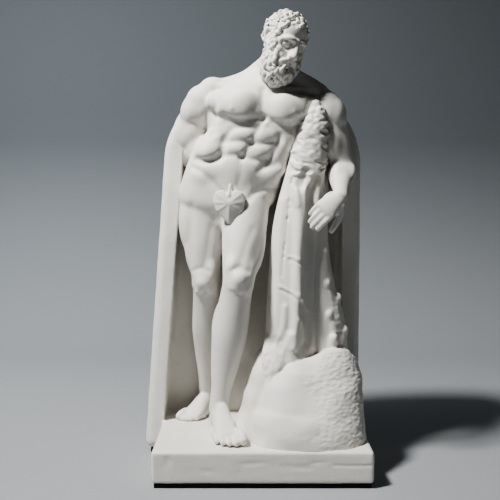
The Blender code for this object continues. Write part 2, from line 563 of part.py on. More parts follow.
def crease(obj, path, breadth, depth):
    """Presses a line into the skin that faces the front."""
    mesh = obj.data
    points = read(mesh, mesh.vertices, "co", 3).astype(float)
    normals = read(mesh, mesh.vertices, "normal", 3).astype(float)
    flat = points[:, [0, 2]]
    line = smooth_through(path, 6)
    nearest = np.full(len(points), 1e9)
    for a, b in zip(line, line[1:]):
        ab = b - a
        t = np.clip(((flat - a) @ ab) / (ab @ ab), 0, 1)
        nearest = np.minimum(nearest, ((flat - a - t[:, None] * ab) ** 2).sum(1))
    facing = np.clip(-1.6 * normals[:, 1], 0, 1)
    points -= normals * (depth * np.exp(-nearest / breadth**2) * facing)[:, None]
    write_points(mesh, points)


def roughen(obj):
    """Gives the rock its broad dents, and scales on its right half."""
    mesh = obj.data
    points = read(mesh, mesh.vertices, "co", 3).astype(float)
    normals = read(mesh, mesh.vertices, "normal", 3).astype(float)
    for i, (x, y, z) in enumerate(points):
        broad = noise.noise(Vector((x * 0.06, y * 0.06, z * 0.09)))
        fine = noise.noise(Vector((x * 0.2, y * 0.2, z * 0.3)))
        right = min(1.0, max(0.2, (x - 20) / 20))
        points[i] += normals[i] * (1.3 * broad + 0.8 * fine * right)
    write_points(mesh, points)


def keep_largest(obj):
    """Drops every loose bit but the largest, such as the wall of a sealed hollow."""
    clay = bmesh.new()
    clay.from_mesh(obj.data)
    left = set(clay.verts)
    islands = []
    while left:
        island = {left.pop()}
        edge_of = list(island)
        while edge_of:
            for link in edge_of.pop().link_edges:
                for v in link.verts:
                    if v in left:
                        left.discard(v)
                        island.add(v)
                        edge_of.append(v)
        islands.append(island)
    largest = max(islands, key=len)
    spare = [v for v in clay.verts if v not in largest]
    bmesh.ops.delete(clay, geom=spare, context="VERTS")
    clay.to_mesh(obj.data)
    clay.free()


def join(objects):
    with bpy.context.temp_override(active_object=objects[0], selected_editable_objects=objects):
        bpy.ops.object.join()
    return objects[0]


def modelled(name, shapes, grain, rounds):
    clay = bmesh.new()
    for shape in shapes:
        shape(clay)
    obj = to_object(clay, name)
    run_together(obj, grain)
    relax(obj, rounds)
    return obj


def body(clay):
    torso(clay)
    leg(clay, HIP_R, KNEE_R, ANKLE_R, 1, (-0.25, -1, 0), 1.0)
    leg(clay, HIP_L, KNEE_L, ANKLE_L, -1, (0.12, -1, 0), 1.1)
    # the full outer side of the thigh that bears no weight
    ball(clay, (-45, 17, 139), (11, 13, 25))
    ball(clay, (-45, 16.5, 156), (11, 12.5, 14))
    # the flank behind the right arm, and the even outer line of the left arm
    ball(clay, (-42, 25, 190), (10, 8, 17))
    tube(clay, [(48.5, 11.5, 206, 7.2), (51.3, 11.5, 191, 7.4), (53.6, 10.5, 175, 7.4),
                (53.4, 2, 166, 6.6)])
    arm(clay, SHOULDER_R, ELBOW_R, WRIST_R, 1, (0.5, -0.8, 0), (0.4, -0.9, 0.6), 1.2)
    arm(clay, SHOULDER_L, ELBOW_L, WRIST_L, -1, (-0.3, -1, 0), (0.5, -0.4, 1), 1.17)


def ends(clay):
    """The feet, the hands and the leaf."""
    foot(clay, ANKLE_R, -36, 1, 0.76)
    foot(clay, ANKLE_L, 16, -1, 1.12)
    hand(clay, WRIST_R, (0.85, 0.05, -0.50), (0.0, -0.95, 0.2), (0.2, 0.2, 0.25, 0.3), 0.92)
    hand(clay, WRIST_L, (-0.75, -0.25, -0.62), (-0.1, 0.9, -0.35), (0.35, 0.45, 0.5, 0.55), 1.0)
    leaf(clay)


def figure_and_support():
    """The whole sculpted mass as one skin, in few triangles."""
    man = modelled("man", [body], GRAIN, 10)
    for path, breadth, depth in CREASES:
        crease(man, path, breadth, depth)
    face = modelled("face", [head], FINE_GRAIN, 3)
    face.data.transform(
        Matrix.Translation(HEAD_PLACE) @ Matrix.Rotation(math.radians(HEAD_TURN), 4, "Z")
        @ Matrix.Rotation(math.radians(HEAD_NOD), 4, "X") @ Matrix.Rotation(math.radians(HEAD_TILT), 4, "Y")
        @ Matrix.Scale(HEAD_SIZE, 4))
    rock = modelled("rock", [boulder], ROCK_GRAIN, 12)
    roughen(rock)
    hands_and_feet = modelled("ends", [ends], FINE_GRAIN, 2)
    drape = modelled("drape", [cloth, gathers, cloth_corner, stump], GRAIN, 3)
    mass = join([man, hands_and_feet, face, drape, rock])
    run_together(mass, GRAIN)
    keep_largest(mass)
    relax(mass, 1)
    m = mass.modifiers.new("fewer", "DECIMATE")
    m.ratio = TRIANGLES / (2 * len(mass.data.polygons))
    m.use_collapse_triangulate = True
    settle(mass)
    return mass


def slab_outline(inset, foot):
    """The slab's outline from its left foot over the arch to its right foot."""
    left, right = -SLAB_LEFT - inset, SLAB_RIGHT - inset
    points = [(SLAB_LEFT_FOOT + inset, foot)]
    for k in range(25):
        a = math.pi * (1 - k / 24)
        half = left if math.cos(a) < 0 else right
        points.append((math.cos(a) * half, SLAB_SPRING + math.sin(a) * (SLAB_RISE - inset)))
    points.append((right, foot))
    return points


def plate(name, outline, front, back, edge):
    """A flat plate with rounded edges, its outline drawn in (x, z)."""
    clay = bmesh.new()
    face = clay.faces.new([clay.verts.new((x, front, z)) for x, z in outline])
    grown = bmesh.ops.extrude_face_region(clay, geom=[face])
    moved = [v for v in grown["geom"] if isinstance(v, bmesh.types.BMVert)]
    bmesh.ops.translate(clay, verts=moved, vec=(0, back - front, 0))
    obj = to_object(clay, name)
    m = obj.modifiers.new("edge", "BEVEL")
    m.width = edge
    m.segments = 3
    m.limit_method = "ANGLE"
    m.angle_limit = math.radians(40)
    settle(obj)
    return obj


def combine(obj, other, operation):
    m = obj.modifiers.new("combine", "BOOLEAN")
    m.object = other
    m.operation = operation
    m.solver = "EXACT"
    settle(obj)
    bpy.data.objects.remove(other)


def block(name, x0, x1, y0, y1, z0, z1, edge):
    clay = bmesh.new()
    middle = Matrix.Translation(((x0 + x1) / 2, (y0 + y1) / 2, (z0 + z1) / 2))
    bmesh.ops.create_cube(clay, size=1.0, matrix=middle @ Matrix.Diagonal((x1 - x0, y1 - y0, z1 - z0, 1)))
    obj = to_object(clay, name)
    m = obj.modifiers.new("edge", "BEVEL")
    m.width = edge
    m.segments = 3
    settle(obj)
    return obj


# The casting
statuette = figure_and_support()
slab = plate("slab", slab_outline(0, -PLINTH_TALL), SLAB_FRONT, SLAB_BACK, SLAB_EDGE)
niche = plate("niche", slab_outline(NICHE_RIM, -NICHE_SINK), SLAB_FRONT - NICHE_CLEAR, NICHE_BACK, NICHE_EDGE)
combine(slab, niche, "DIFFERENCE")
plinth = block("plinth", -PLINTH_WIDE / 2, PLINTH_WIDE / 2, PLINTH_BACK - PLINTH_DEEP, PLINTH_BACK,
               -PLINTH_TALL, 0, PLINTH_EDGE)
combine(statuette, slab, "UNION")
combine(statuette, plinth, "UNION")
keep_largest(statuette)
statuette.name = statuette.data.name = "statuette"
statuette.data.transform(Matrix.Scale(MM, 4) @ Matrix.Translation((0, 0, PLINTH_TOP)))

# The pad under the plinth and the slab's foot
pad = block("base_pad", -PLINTH_WIDE / 2 + PAD_INSET, PLINTH_WIDE / 2 - PAD_INSET,
            PLINTH_BACK - PLINTH_DEEP + PAD_INSET, PLINTH_BACK - PAD_INSET, 0, PAD_TALL - GAP, PAD_EDGE)
heel = block("heel", SLAB_LEFT_FOOT + HEEL_SIDE, SLAB_RIGHT - HEEL_SIDE, SLAB_FRONT + HEEL_SIDE,
             SLAB_BACK - HEEL_BACK, 0, PAD_TALL - GAP, PAD_EDGE)
combine(pad, heel, "UNION")
pad.name = pad.data.name = "base_pad"
pad.data.transform(Matrix.Scale(MM, 4))

for obj in (statuette, pad):
    box = read(obj.data, obj.data.vertices, "co", 3)
    count = sum(len(p.vertices) - 2 for p in obj.data.polygons)
    print(obj.name, count, "triangles", box.min(0).round(4), box.max(0).round(4))
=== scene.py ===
import math

import bmesh
import bpy
import numpy as np
from mathutils import Matrix, Vector, noise


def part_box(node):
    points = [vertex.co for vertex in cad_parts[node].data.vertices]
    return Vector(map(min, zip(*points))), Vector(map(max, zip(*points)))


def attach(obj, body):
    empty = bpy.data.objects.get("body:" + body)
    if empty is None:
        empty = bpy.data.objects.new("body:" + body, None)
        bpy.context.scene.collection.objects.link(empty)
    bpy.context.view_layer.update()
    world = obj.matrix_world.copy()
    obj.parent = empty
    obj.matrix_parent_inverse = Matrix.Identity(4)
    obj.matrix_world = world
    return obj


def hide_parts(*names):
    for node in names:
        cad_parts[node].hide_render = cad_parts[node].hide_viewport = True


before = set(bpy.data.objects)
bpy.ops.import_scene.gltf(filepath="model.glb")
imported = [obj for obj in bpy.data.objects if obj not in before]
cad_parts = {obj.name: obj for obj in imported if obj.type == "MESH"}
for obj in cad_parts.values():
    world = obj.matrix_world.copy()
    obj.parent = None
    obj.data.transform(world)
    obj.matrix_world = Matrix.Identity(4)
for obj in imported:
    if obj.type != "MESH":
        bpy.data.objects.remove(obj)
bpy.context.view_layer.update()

# Sizes taken from the frame
MM = 0.001
cast_low, cast_high = (Vector(corner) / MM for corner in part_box("statuette"))
PLINTH_TALL = 20.0
PLINTH_TOP = cast_low.z + PLINTH_TALL
FIGURE_TALL = cast_high.z - PLINTH_TOP

# Named sizes, in millimetres
PLINTH_WIDE, PLINTH_DEEP = 136.0, 91.0
PLINTH_BACK = 46.0
PLINTH_EDGE = 1.8
SLAB_FRONT, SLAB_BACK = 22.0, 56.0
SLAB_LEFT_FOOT, SLAB_LEFT, SLAB_RIGHT = -81.0, -66.5, 67.8
SLAB_SPRING, SLAB_RISE = 178.0, 57.0
SLAB_EDGE = 6.0
NICHE_RIM, NICHE_BACK, NICHE_EDGE = 13.0, 47.0, 4.0
NICHE_SINK, NICHE_CLEAR = 10.0, 12.0
# How fine each part is modelled, and how many triangles it may keep
BODY_GRAIN, END_GRAIN, FIGURE_GRAIN = 0.62, 0.45, 0.5
FACE_GRAIN, HEAD_GRAIN = 0.5, 0.4
STONE_GRAIN, BASE_GRAIN = 0.55, 0.8
ROCK_GRAIN = STONE_GRAIN * 1.3
FIGURE_TRIANGLES, SUPPORT_TRIANGLES, HEAD_TRIANGLES, BASE_TRIANGLES = 190000, 190000, 170000, 150000
HAIR_CURLS, BEARD_CURLS, FORELOCKS = 210, 150, 11
CLOTH_GATHERS, GATHERS_TOP, GATHER_STEP = 64, 211.0, 0.66
SEAM_PITS = 10
HAIR_SEED, CLOTH_SEED = 7, 3

FRONT = Vector((0, -1, 0))
LEAN = (0.16, 0, 1)
TURN = 2 * math.pi

# Joints of the figure. His right side is the viewer's left.
HIP_R, KNEE_R, ANKLE_R = (-39.5, 17, 153), (-37.2, 13, 98), (-38.5, 42, 20)
HIP_L, KNEE_L, ANKLE_L = (-9.5, 12, 151), (-15.2, -11, 100), (-28.0, -1, 20)
SHOULDER_R, ELBOW_R, WRIST_R = (-37.5, 20, 218), (-58.0, 32, 189), (-32, 38, 171)
SHOULDER_L, ELBOW_L, WRIST_L = (42, 12, 216), (52.5, 11, 173), (49.5, -17, 155)
HEAD_PLACE, HEAD_TURN, HEAD_NOD, HEAD_TILT = (14.5, 2, FIGURE_TALL - 22.6), 30.0, 24.0, 13.0
HEAD_SIZE = 0.96

# Muscles along a bone: share of its length, outwards, forwards, half sizes (out, front, along)
THIGH = (
    (0.42, 1.0, 6.0, (7.5, 7.5, 24)), (0.50, 7.0, 1.5, (6.6, 8.5, 24)),
    (0.84, -5.0, 5.0, (4.9, 5.4, 10)), (0.80, 5.0, 5.0, (4.2, 4.4, 11)),
    (0.28, -6.0, 1.0, (7, 9, 20)), (0.50, 0, -7.5, (9.5, 7.5, 25)), (0.10, 3.0, 4.0, (8, 7, 13)),
)
CALF = (
    (0.36, -4.6, -4.6, (6.6, 7.4, 19)), (0.33, 4.9, -4.0, (6.0, 7.0, 18)),
    (0.40, 4.0, 2.6, (4.4, 4.8, 22)), (0.56, -3.8, -2.0, (4.2, 5.2, 18)),
    (0.58, 4.2, -2.6, (3.8, 5.0, 18)), (0.85, 0, -5.4, (2.6, 2.8, 14)), (0.08, 0, 5.6, (3.2, 3, 5.5)),
)
UPPER_ARM = (
    (0.18, 4.0, 0.0, (6.8, 9.0, 13)), (0.12, 1.0, 4.0, (7, 6.5, 11)), (0.10, 1.5, -4.0, (7, 6.5, 11)),
    (0.58, -1.0, 4.2, (6.2, 6.4, 14)), (0.52, 1.0, -4.4, (6.4, 6.0, 15)), (0.70, 4.0, 0.6, (3.6, 4.4, 9)),
)
FOREARM = (
    (0.16, 3.4, 2.4, (4.6, 5.0, 12)), (0.22, -3.0, 1.5, (4.6, 5.2, 13)), (0.25, 0.5, -3.2, (4.6, 4.2, 14)),
)

# Limb girths: share of the bone, half width, half depth, forwards
THIGH_GIRTHS = ((-0.10, 13.5, 14, 0), (0.2, 13.6, 14, 0), (0.5, 12.8, 12.8, 0.5), (0.8, 10.6, 10.6, 0),
                (1.0, 9.3, 9.8, 0))
CALF_GIRTHS = ((0.08, 9.2, 9.2, -0.8), (0.25, 9.9, 9.8, -1.8), (0.44, 10.6, 10, -2.0),
               (0.6, 9.4, 8.8, -1.4),
               (0.76, 7.8, 7.4, -0.8), (0.9, 6.2, 6.6, -0.2), (1.08, 5.6, 6.4, 0))
UPPER_ARM_GIRTHS = ((-0.02, 8.5, 9, 0), (0.3, 7.8, 8.4, 0), (0.65, 7.4, 8.2, 0), (0.92, 6.8, 7.0, 0),
                    (1.02, 6, 6.2, 0))
FOREARM_GIRTHS = ((-0.04, 6, 6.2, 0), (0.2, 7.6, 7.2, 0), (0.5, 6.2, 5.8, 0), (0.8, 4.6, 4, 0),
                  (1.02, 4.4, 3.4, 0))

# Soft swellings of the front: x, z, half width, half height, rise, tilt in degrees
SWELLINGS = (
    (-14.5, 214.5, 20, 14, 1.2, 4), (15.0, 212.5, 19, 13.5, 1.1, 8),
    (-12.3, 194.4, 11.5, 8.0, 2.4, -4), (2.8, 194.6, 10.5, 8.5, 2.3, 8),
    (-15.6, 185.8, 11.5, 7.0, 2.0, 2), (-1.4, 184.0, 9.5, 7.5, 2.0, 12),
    (-19.5, 172.5, 17, 14, 2.2, 0), (-6.5, 172.5, 11, 12.5, 1.6, -10), (-18.0, 160.0, 17, 11, 1.2, 0),
    (-35.5, 185.5, 12.5, 10.5, 3.0, 20), (12.8, 184.0, 11.5, 17, 1.8, -8),
    (8.0, 167.5, 13, 10, 2.2, -20), (-38.5, 170.5, 11, 9.5, 1.5, 20),
    (-29.0, 203.2, 6, 4, 1.0, 28), (-30.4, 198.2, 6, 4, 1.0, 28), (-30.0, 193.2, 6, 3.8, 0.9, 28),
    (21.5, 199.2, 5.6, 3.8, 0.9, -28), (20.2, 193.8, 5.6, 3.8, 0.9, -28),
    (-19.5, 211.2, 2.0, 2.0, 0.8, 0), (20.5, 208.8, 2.0, 2.0, 0.8, 0), (-13.3, 179.8, 2.2, 2.8, -2.0, 0),
)

# Creases of the front, as (x, z) paths, with breadth and depth
CREASES = (
    (((1.0, 224), (0.6, 214), (1.2, 206)), 2.2, 1.5),
    (((1.2, 205), (-4.4, 194.6), (-8.4, 186.6), (-12.6, 180.8)), 1.7, 1.3),
    (((-13.4, 178), (-13.4, 171), (-15.2, 163)), 2.0, 0.5),
    (((0.5, 205.6), (-10, 203.6), (-19, 204.4), (-25.5, 207.4)), 2.0, 1.5),
    (((1.8, 205.2), (11, 201.6), (20, 201.6), (26, 205)), 2.0, 1.5),
    (((-4, 200), (-12, 199.6), (-20, 197.5), (-24.5, 190.5)), 1.8, 1.0),
    (((4.5, 200), (9, 197.5), (12.5, 191)), 1.8, 0.9),
    (((-24.2, 193), (-25.4, 186), (-28, 178.5)), 2.2, 1.4),
    (((12, 194), (9.5, 187), (5, 179), (0.5, 174)), 2.2, 1.3),
    (((-22.6, 190), (-14, 190.3), (-7, 189.7)), 1.5, 1.0),
    (((-5.8, 189), (0.5, 188.6), (7.8, 190.4)), 1.5, 1.0),
    (((-26, 181), (-18, 181.6), (-12.8, 180.6)), 1.7, 1.1),
    (((-11.4, 180), (-5, 178.6), (3.6, 178.6)), 1.7, 1.0),
    (((-43, 179.2), (-37, 177.6), (-31, 178.6), (-27.5, 181)), 2.0, 1.8),
    (((-2, 171), (4, 174.2), (10.5, 175.6), (17, 174)), 2.0, 0.8),
    (((-45, 174), (-38, 169.6), (-30.5, 162.2), (-23, 153)), 2.2, 1.3),
    (((12, 160), (5, 160), (-4, 157.4), (-14.5, 148)), 2.2, 1.3),
    (((-31.0, 224), (-29.5, 217), (-31, 210)), 1.8, 1.3),
    (((32.0, 221), (30.5, 215), (32, 208)), 1.8, 1.3),
    (((-46, 150), (-47.5, 135), (-46.5, 118)), 2.4, 0.5),
    (((-33, 135), (-35.5, 120), (-37.5, 110)), 2.2, 0.6),
    (((-45.5, 105.8), (-40, 107.6), (-34.8, 105.6)), 1.5, 0.9),
    (((-44.8, 93), (-40, 90.6), (-35.6, 93)), 1.5, 0.7),
    (((-20, 148), (-24, 132), (-22, 116)), 2.4, 0.5),
    (((-6, 134), (-11, 121), (-13.5, 112)), 2.2, 0.6),
    (((-20.5, 107.8), (-14.5, 110.2), (-8.5, 107.6)), 1.5, 0.9),
    (((-19.8, 95), (-14.8, 92.4), (-9.8, 95)), 1.5, 0.7),
)


# Clay: shapes laid into one mesh
def frame_of(along, front=FRONT):
    """Side, front and along directions, square to each other."""
    w = Vector(along).normalized()
    f = Vector(front)
    f = (f - f.dot(w) * w).normalized()
    return w.cross(f), f, w


def ball(clay, centre, radii, along=(0, 0, 1), front=FRONT, detail=3):
    """An egg of clay. radii are its reach to the side, to the front and along."""
    u, f, w = frame_of(along, front)
    turn = Matrix((u, f, w)).transposed().to_4x4()
    place = Matrix.Translation(centre) @ turn @ Matrix.Diagonal((*radii, 1.0))
    bmesh.ops.create_icosphere(clay, subdivisions=detail, radius=1.0, matrix=place)


def smooth_through(rows, steps):
    """Rows of numbers that run smoothly through the given ones."""
    rows = np.array(rows, float)
    padded = np.vstack([2 * rows[0] - rows[1], rows, 2 * rows[-1] - rows[-2]])
    out = []
    for i in range(len(rows) - 1):
        a, b, c, d = padded[i:i + 4]
        for t in np.arange(steps) / steps:
            curve = 2 * b + (c - a) * t + (2 * a - 5 * b + 4 * c - d) * t**2
            out.append(0.5 * (curve + (3 * b - a - 3 * c + d) * t**3))
    out.append(rows[-1])
    return np.array(out)


def close_tube(clay, rings):
    """Skins rings of points into a closed tube."""
    count = len(rings[0])
    for low, high in zip(rings, rings[1:]):
        for k in range(count):
            clay.faces.new((low[k], low[(k + 1) % count], high[(k + 1) % count], high[k]))
    clay.faces.new(rings[0][::-1])
    clay.faces.new(rings[-1])


def tube(clay, stations, front=FRONT, sides=24, steps=5, square=2.0, ends=True):
    """A limb of clay through stations (x, y, z, half width, half depth)."""
    rows = smooth_through([s if len(s) == 5 else (*s, s[3]) for s in stations], steps)
    places = rows[:, :3]
    tangents = np.gradient(places, axis=0)
    power = 2.0 / square
    rings = []
    for place, tangent, (width, depth) in zip(places, tangents, rows[:, 3:]):
        u, f, _ = frame_of(tangent, front)
        ring = []
        for k in range(sides):
            c = math.cos(TURN * k / sides)
            s = math.sin(TURN * k / sides)
            a = math.copysign(abs(c) ** power, c) * width
            b = math.copysign(abs(s) ** power, s) * depth
            ring.append(clay.verts.new(Vector(place) + u * a + f * b))
        rings.append(ring)
    close_tube(clay, rings)
    if ends:
        for i in (0, -1):
            width, depth = rows[i, 3:]
            ball(clay, places[i], (width, depth, 0.8 * min(width, depth)), tangents[i], front)


class Bone:
    """A limb's line from a to b. side is +1 for his right and -1 for his left."""

    def __init__(self, a, b, side, front):
        self.a, self.b = Vector(a), Vector(b)
        self.axis = (self.b - self.a).normalized()
        across, self.front, _ = frame_of(self.axis, front)
        self.outer = across * side

    def at(self, share, outer=0.0, front=0.0):
        return self.a.lerp(self.b, share) + self.outer * outer + self.front * front

    def stations(self, girths, heft):
        return [(*self.at(share, 0, front), wide * heft, deep * heft) for share, wide, deep, front in girths]

    def muscles(self, clay, table, heft):
        for share, outer, front, (wide, deep, tall) in table:
            place = self.at(share, outer * heft, front * heft)
            ball(clay, place, (wide * heft, deep * heft, tall), self.axis, self.front)


# The man
def torso(clay):
    """The trunk from the hips to the neck, leaning on its left."""
    tube(clay, [(-24, 14, 139, 15, 12), (-24, 15, 148, 28.5, 16), (-23, 15, 158, 31, 16.5),
                (-19, 15, 167, 32, 17),
                (-14, 14.5, 178, 30.5, 16.5), (-8.5, 14, 187, 28.5, 16), (-4.5, 14, 196, 28.5, 16.5),
                (-1.5, 15, 206, 30, 18), (0.5, 15, 214, 31, 17.5), (2, 16, 222, 27, 15),
                (3, 17, 230, 16, 11.5),
                (5, 16, 236, 10, 10)], square=2.7)
    ball(clay, (-4, 14.5, 206), (29, 18.5, 23), LEAN)
    for side, middle, low in ((-1, -1.5, 213), (1, 3.5, 211)):
        # a chest plate that runs out to the armpit
        tube(clay, [(middle, 2, low + 0.5, 7.5, 3.5), (middle + 9.3 * side, 0.5, low, 11, 7),
                    (middle + 18.5 * side, 2, low, 9.5, 7), (middle + 28.5 * side, 8.3, low + 4.7, 6.5, 7)],
             steps=4, square=2.4)
    # the belly's two columns, then the lower belly
    tube(clay, [(-11.5, 3.2, 200, 8, 4.5), (-15.5, 3.0, 187, 8, 4.5), (-20.5, 4.2, 174, 11, 5.5),
                (-21, 5.0, 160, 11, 6)])
    tube(clay, [(3.5, 3.2, 198, 7.5, 4.5), (-1.5, 3.0, 184, 6.5, 4.5), (-7, 4.0, 173, 7, 5),
                (-14, 5.0, 160, 9, 6)])
    ball(clay, (-20.5, 5, 154), (10, 7, 8))
    # flanks, hips and seat
    for x, y, z, radii, lean in ((-35, 9.5, 181.5, (8.5, 10.5, 7.6), -0.25),
                                 (-29, 4.6, 177.5, (8, 6.0, 9), -0.3),
                                 (10.5, 9.5, 174.5, (7.6, 9.5, 7.2), 0.3), (3, 5.2, 171, (8, 6.0, 9), 0.5),
                                 (-41, 15, 162, (13, 14, 14), 0), (-4, 13, 159, (14.5, 14, 13), 0),
                                 (-38, 24, 156, (15, 13, 15), 0), (-10, 22, 153, (14.5, 13, 14.5), 0)):
        ball(clay, (x, y, z), radii, (lean, 0, 1))
    # ribs' lower edge, back muscles and shoulder blades, a side at a time
    for side, out in ((-1, -31), (1, 28.5)):
        tube(clay, [(out * 0.12, 2.2, 204, 3, 3), (out * 0.48, 2.6, 201, 4, 3.4),
                    (out * 0.76, 5.4, 193, 4.8, 4),
                    (out * 0.85, 10, 182.5, 4, 4)], steps=3)
        tube(clay, [(out, 18.5, 214, 6, 9), (out, 18.5, 205, 6.5, 10), (out * 0.91, 17.5, 194, 5, 9),
                    (out * 0.75, 16.5, 184, 4, 8)])
        ball(clay, (1.5 + 18.5 * side, 28.5, 212), (11, 6, 12), (-0.3 * side, 0, 1))
        x = -4 + 6 * side
        tube(clay, [(x - 8, 28, 165, 5, 5), (x - 3, 27, 185, 5.5, 5), (x + 4, 29, 205, 6, 5),
                    (x + 7, 28, 225, 5, 5)])
    # neck, its slopes, the collar bones and the neck's cords
    tube(clay, [(4, 17, 222, 13, 12), (6, 15.5, 234, 11.5, 11.5), (10, 12, 244, 11, 11),
                (13, 8, 252, 10.5, 11)])
    tube(clay, [(5, 17, 242, 8, 7), (-7, 19.5, 230.5, 10, 8), (-20, 20, 226, 9.5, 8), (-33, 20, 224, 9, 8)])
    ball(clay, (-32.5, 19, 225.5), (10, 9.5, 9.4))
    ball(clay, (-39.5, 19, 218.5), (11.4, 10.5, 11.4))
    tube(clay, [(13, 16, 240, 8, 7), (20, 18, 231, 10, 8), (30, 16, 225.5, 9.5, 8),
                (38, 13.5, 221, 8.5, 8)])
    tube(clay, [(-1, 4.5, 225.5, 2.4), (-14, 6, 226.5, 2.1), (-27, 11.5, 227.5, 2.3), (-36, 16, 227, 3)])
    tube(clay, [(6, 4.5, 225, 2.4), (17, 5, 224.8, 2.1), (29, 8.5, 224.2, 2.3), (38, 10.5, 222.5, 3)])
    tube(clay, [(-0.5, 5.5, 226, 2.2), (2, 8, 236, 2.8), (4.5, 12, 247, 2.8)])
    tube(clay, [(4.5, 5.5, 226, 2.2), (11, 4, 236, 2.8), (18, 6, 246, 3)])
    # the hollows over the collar bones are filled to the shoulders
    for out, top in ((-29, 222.0), (34, 219.5)):
        ball(clay, (out, 16.5, top), (9, 8, 6.5))


def leg(clay, hip, knee, ankle, side, front, heft):
    """A leg from hip to ankle. heft thickens it."""
    thigh, calf = Bone(hip, knee, side, front), Bone(knee, ankle, side, front)
    tube(clay, thigh.stations(THIGH_GIRTHS, heft) + calf.stations(CALF_GIRTHS, heft), front=front)
    thigh.muscles(clay, THIGH, heft)
    calf.muscles(clay, CALF, heft)
    # the knee cap and the pads under it
    ahead = (thigh.front + calf.front).normalized()
    k = Vector(knee)
    ball(clay, k + ahead * 8.2 * heft + Vector((0, 0, 1.5)), (4.7 * heft, 3.4, 5.2), (0, 0, 1), ahead)
    for out in (-1, 1):
        pad = k + ahead * 6.8 * heft + thigh.outer * out * 3.4 * heft - Vector((0, 0, 4.5))
        ball(clay, pad, (2.6, 2.8, 3.2), (0, 0, 1), ahead)
        ball(clay, k + thigh.outer * out * 6.4 * heft + ahead * 1.5, (3, 5.5, 6.5), (0, 0, 1), ahead)
        ball(clay, calf.at(1.0 + 0.025 * out, 4.4 * out, -0.3), (2.2, 2.8, 3.2))
    # the shin's edge
    tube(clay, [(*calf.at(0.10, -0.5, 6.2 * heft), 2.2), (*calf.at(0.4, -1.2, 5.6 * heft), 1.7),
                (*calf.at(0.8, -1.0, 4.0), 1.6)])


def arm(clay, shoulder, elbow, wrist, side, upper_front, fore_front, heft):
    """An arm from shoulder to wrist. heft thickens it."""
    upper, fore = Bone(shoulder, elbow, side, upper_front), Bone(elbow, wrist, side, fore_front)
    tube(clay, upper.stations(UPPER_ARM_GIRTHS, heft), front=upper_front)
    tube(clay, fore.stations(FOREARM_GIRTHS, heft), front=fore_front)
    upper.muscles(clay, UPPER_ARM, heft)
    fore.muscles(clay, FOREARM, heft)
    ball(clay, Vector(elbow) - upper.front * 3.2 + upper.axis * 2.5, (3.2, 3.2, 3.6))


def body(clay):
    """The trunk, the legs and the arms."""
    torso(clay)
    leg(clay, HIP_R, KNEE_R, ANKLE_R, 1, (-0.25, -1, 0), 1.0)
    leg(clay, HIP_L, KNEE_L, ANKLE_L, -1, (0.12, -1, 0), 1.1)
    # the full outer side of the thigh that bears no weight
    ball(clay, (-45, 17, 139), (11, 13, 25))
    ball(clay, (-45, 16.5, 156), (11, 12.5, 14))
    # the flank behind the right arm, and the even outer line of the left arm
    ball(clay, (-42, 25, 190), (10, 8, 17))
    tube(clay, [(48.5, 11.5, 206, 7.2), (51.3, 11.5, 191, 7.4), (53.6, 10.5, 175, 7.4),
                (53.4, 2, 166, 6.6)])
    arm(clay, SHOULDER_R, ELBOW_R, WRIST_R, 1, (0.5, -0.8, 0), (0.4, -0.9, 0.6), 1.2)
    arm(clay, SHOULDER_L, ELBOW_L, WRIST_L, -1, (-0.3, -1, 0), (0.5, -0.4, 1), 1.17)


def foot(clay, ankle, turn, side, size):
    """A bare foot flat on the plinth. turn swings its toes from the front, in degrees."""
    a = math.radians(turn)
    ahead = Vector((math.sin(a), -math.cos(a), 0))
    across = Vector((math.cos(a), math.sin(a), 0)) * side
    ground = Vector((ankle[0], ankle[1], 0))

    def at(forward, out, up):
        return ground + (ahead * forward + across * out) * size + Vector((0, 0, up * size))

    ball(clay, at(-5.5, 0, 6.6), (5.4, 5.6, 7.2), (0, 0, 1), ahead)
    tube(clay, [(*at(-3, 0, 9), 5.6, 7), (*at(5, 0.2, 9), 6.2, 8.4), (*at(13, 0.6, 6.6), 7, 6.6),
                (*at(20, 0.9, 4.6), 7.8, 4.6), (*at(25, 0.9, 3.6), 7.8, 3.6)], front=(0, 0, 1), square=2.2)
    tube(clay, [(*at(-2, 0.2, 18), 5.2, 6), (*at(4, 0, 14.5), 4.8, 5.5), (*at(12, -0.8, 9.6), 4.4, 3.6)],
         front=(0, 0, 1))
    ball(clay, at(22, -5.2, 3.7), (3.9, 4.4, 3.9), (0, 0, 1), ahead)
    ball(clay, at(17, 5.8, 3.2), (3.6, 6.5, 3.3), (0, 0, 1), ahead)
    # toes: outwards, start, reach, half thickness
    for out, start, reach, r in ((-5.6, 25, 10, 3.0), (-1.5, 26.5, 8.2, 2.05), (2, 26, 7.2, 1.95),
                                 (5.1, 24.6, 6.2, 1.85), (7.9, 22.2, 5.2, 1.8)):
        tube(clay, [(*at(start - 1, out, r * 1.75 + 0.6), r),
                    (*at(start + reach * 0.45, out, r * 1.75), r * 0.94),
                    (*at(start + reach - r * 0.7, out, r * 1.02), r)], steps=3, front=(0, 0, 1), sides=16)


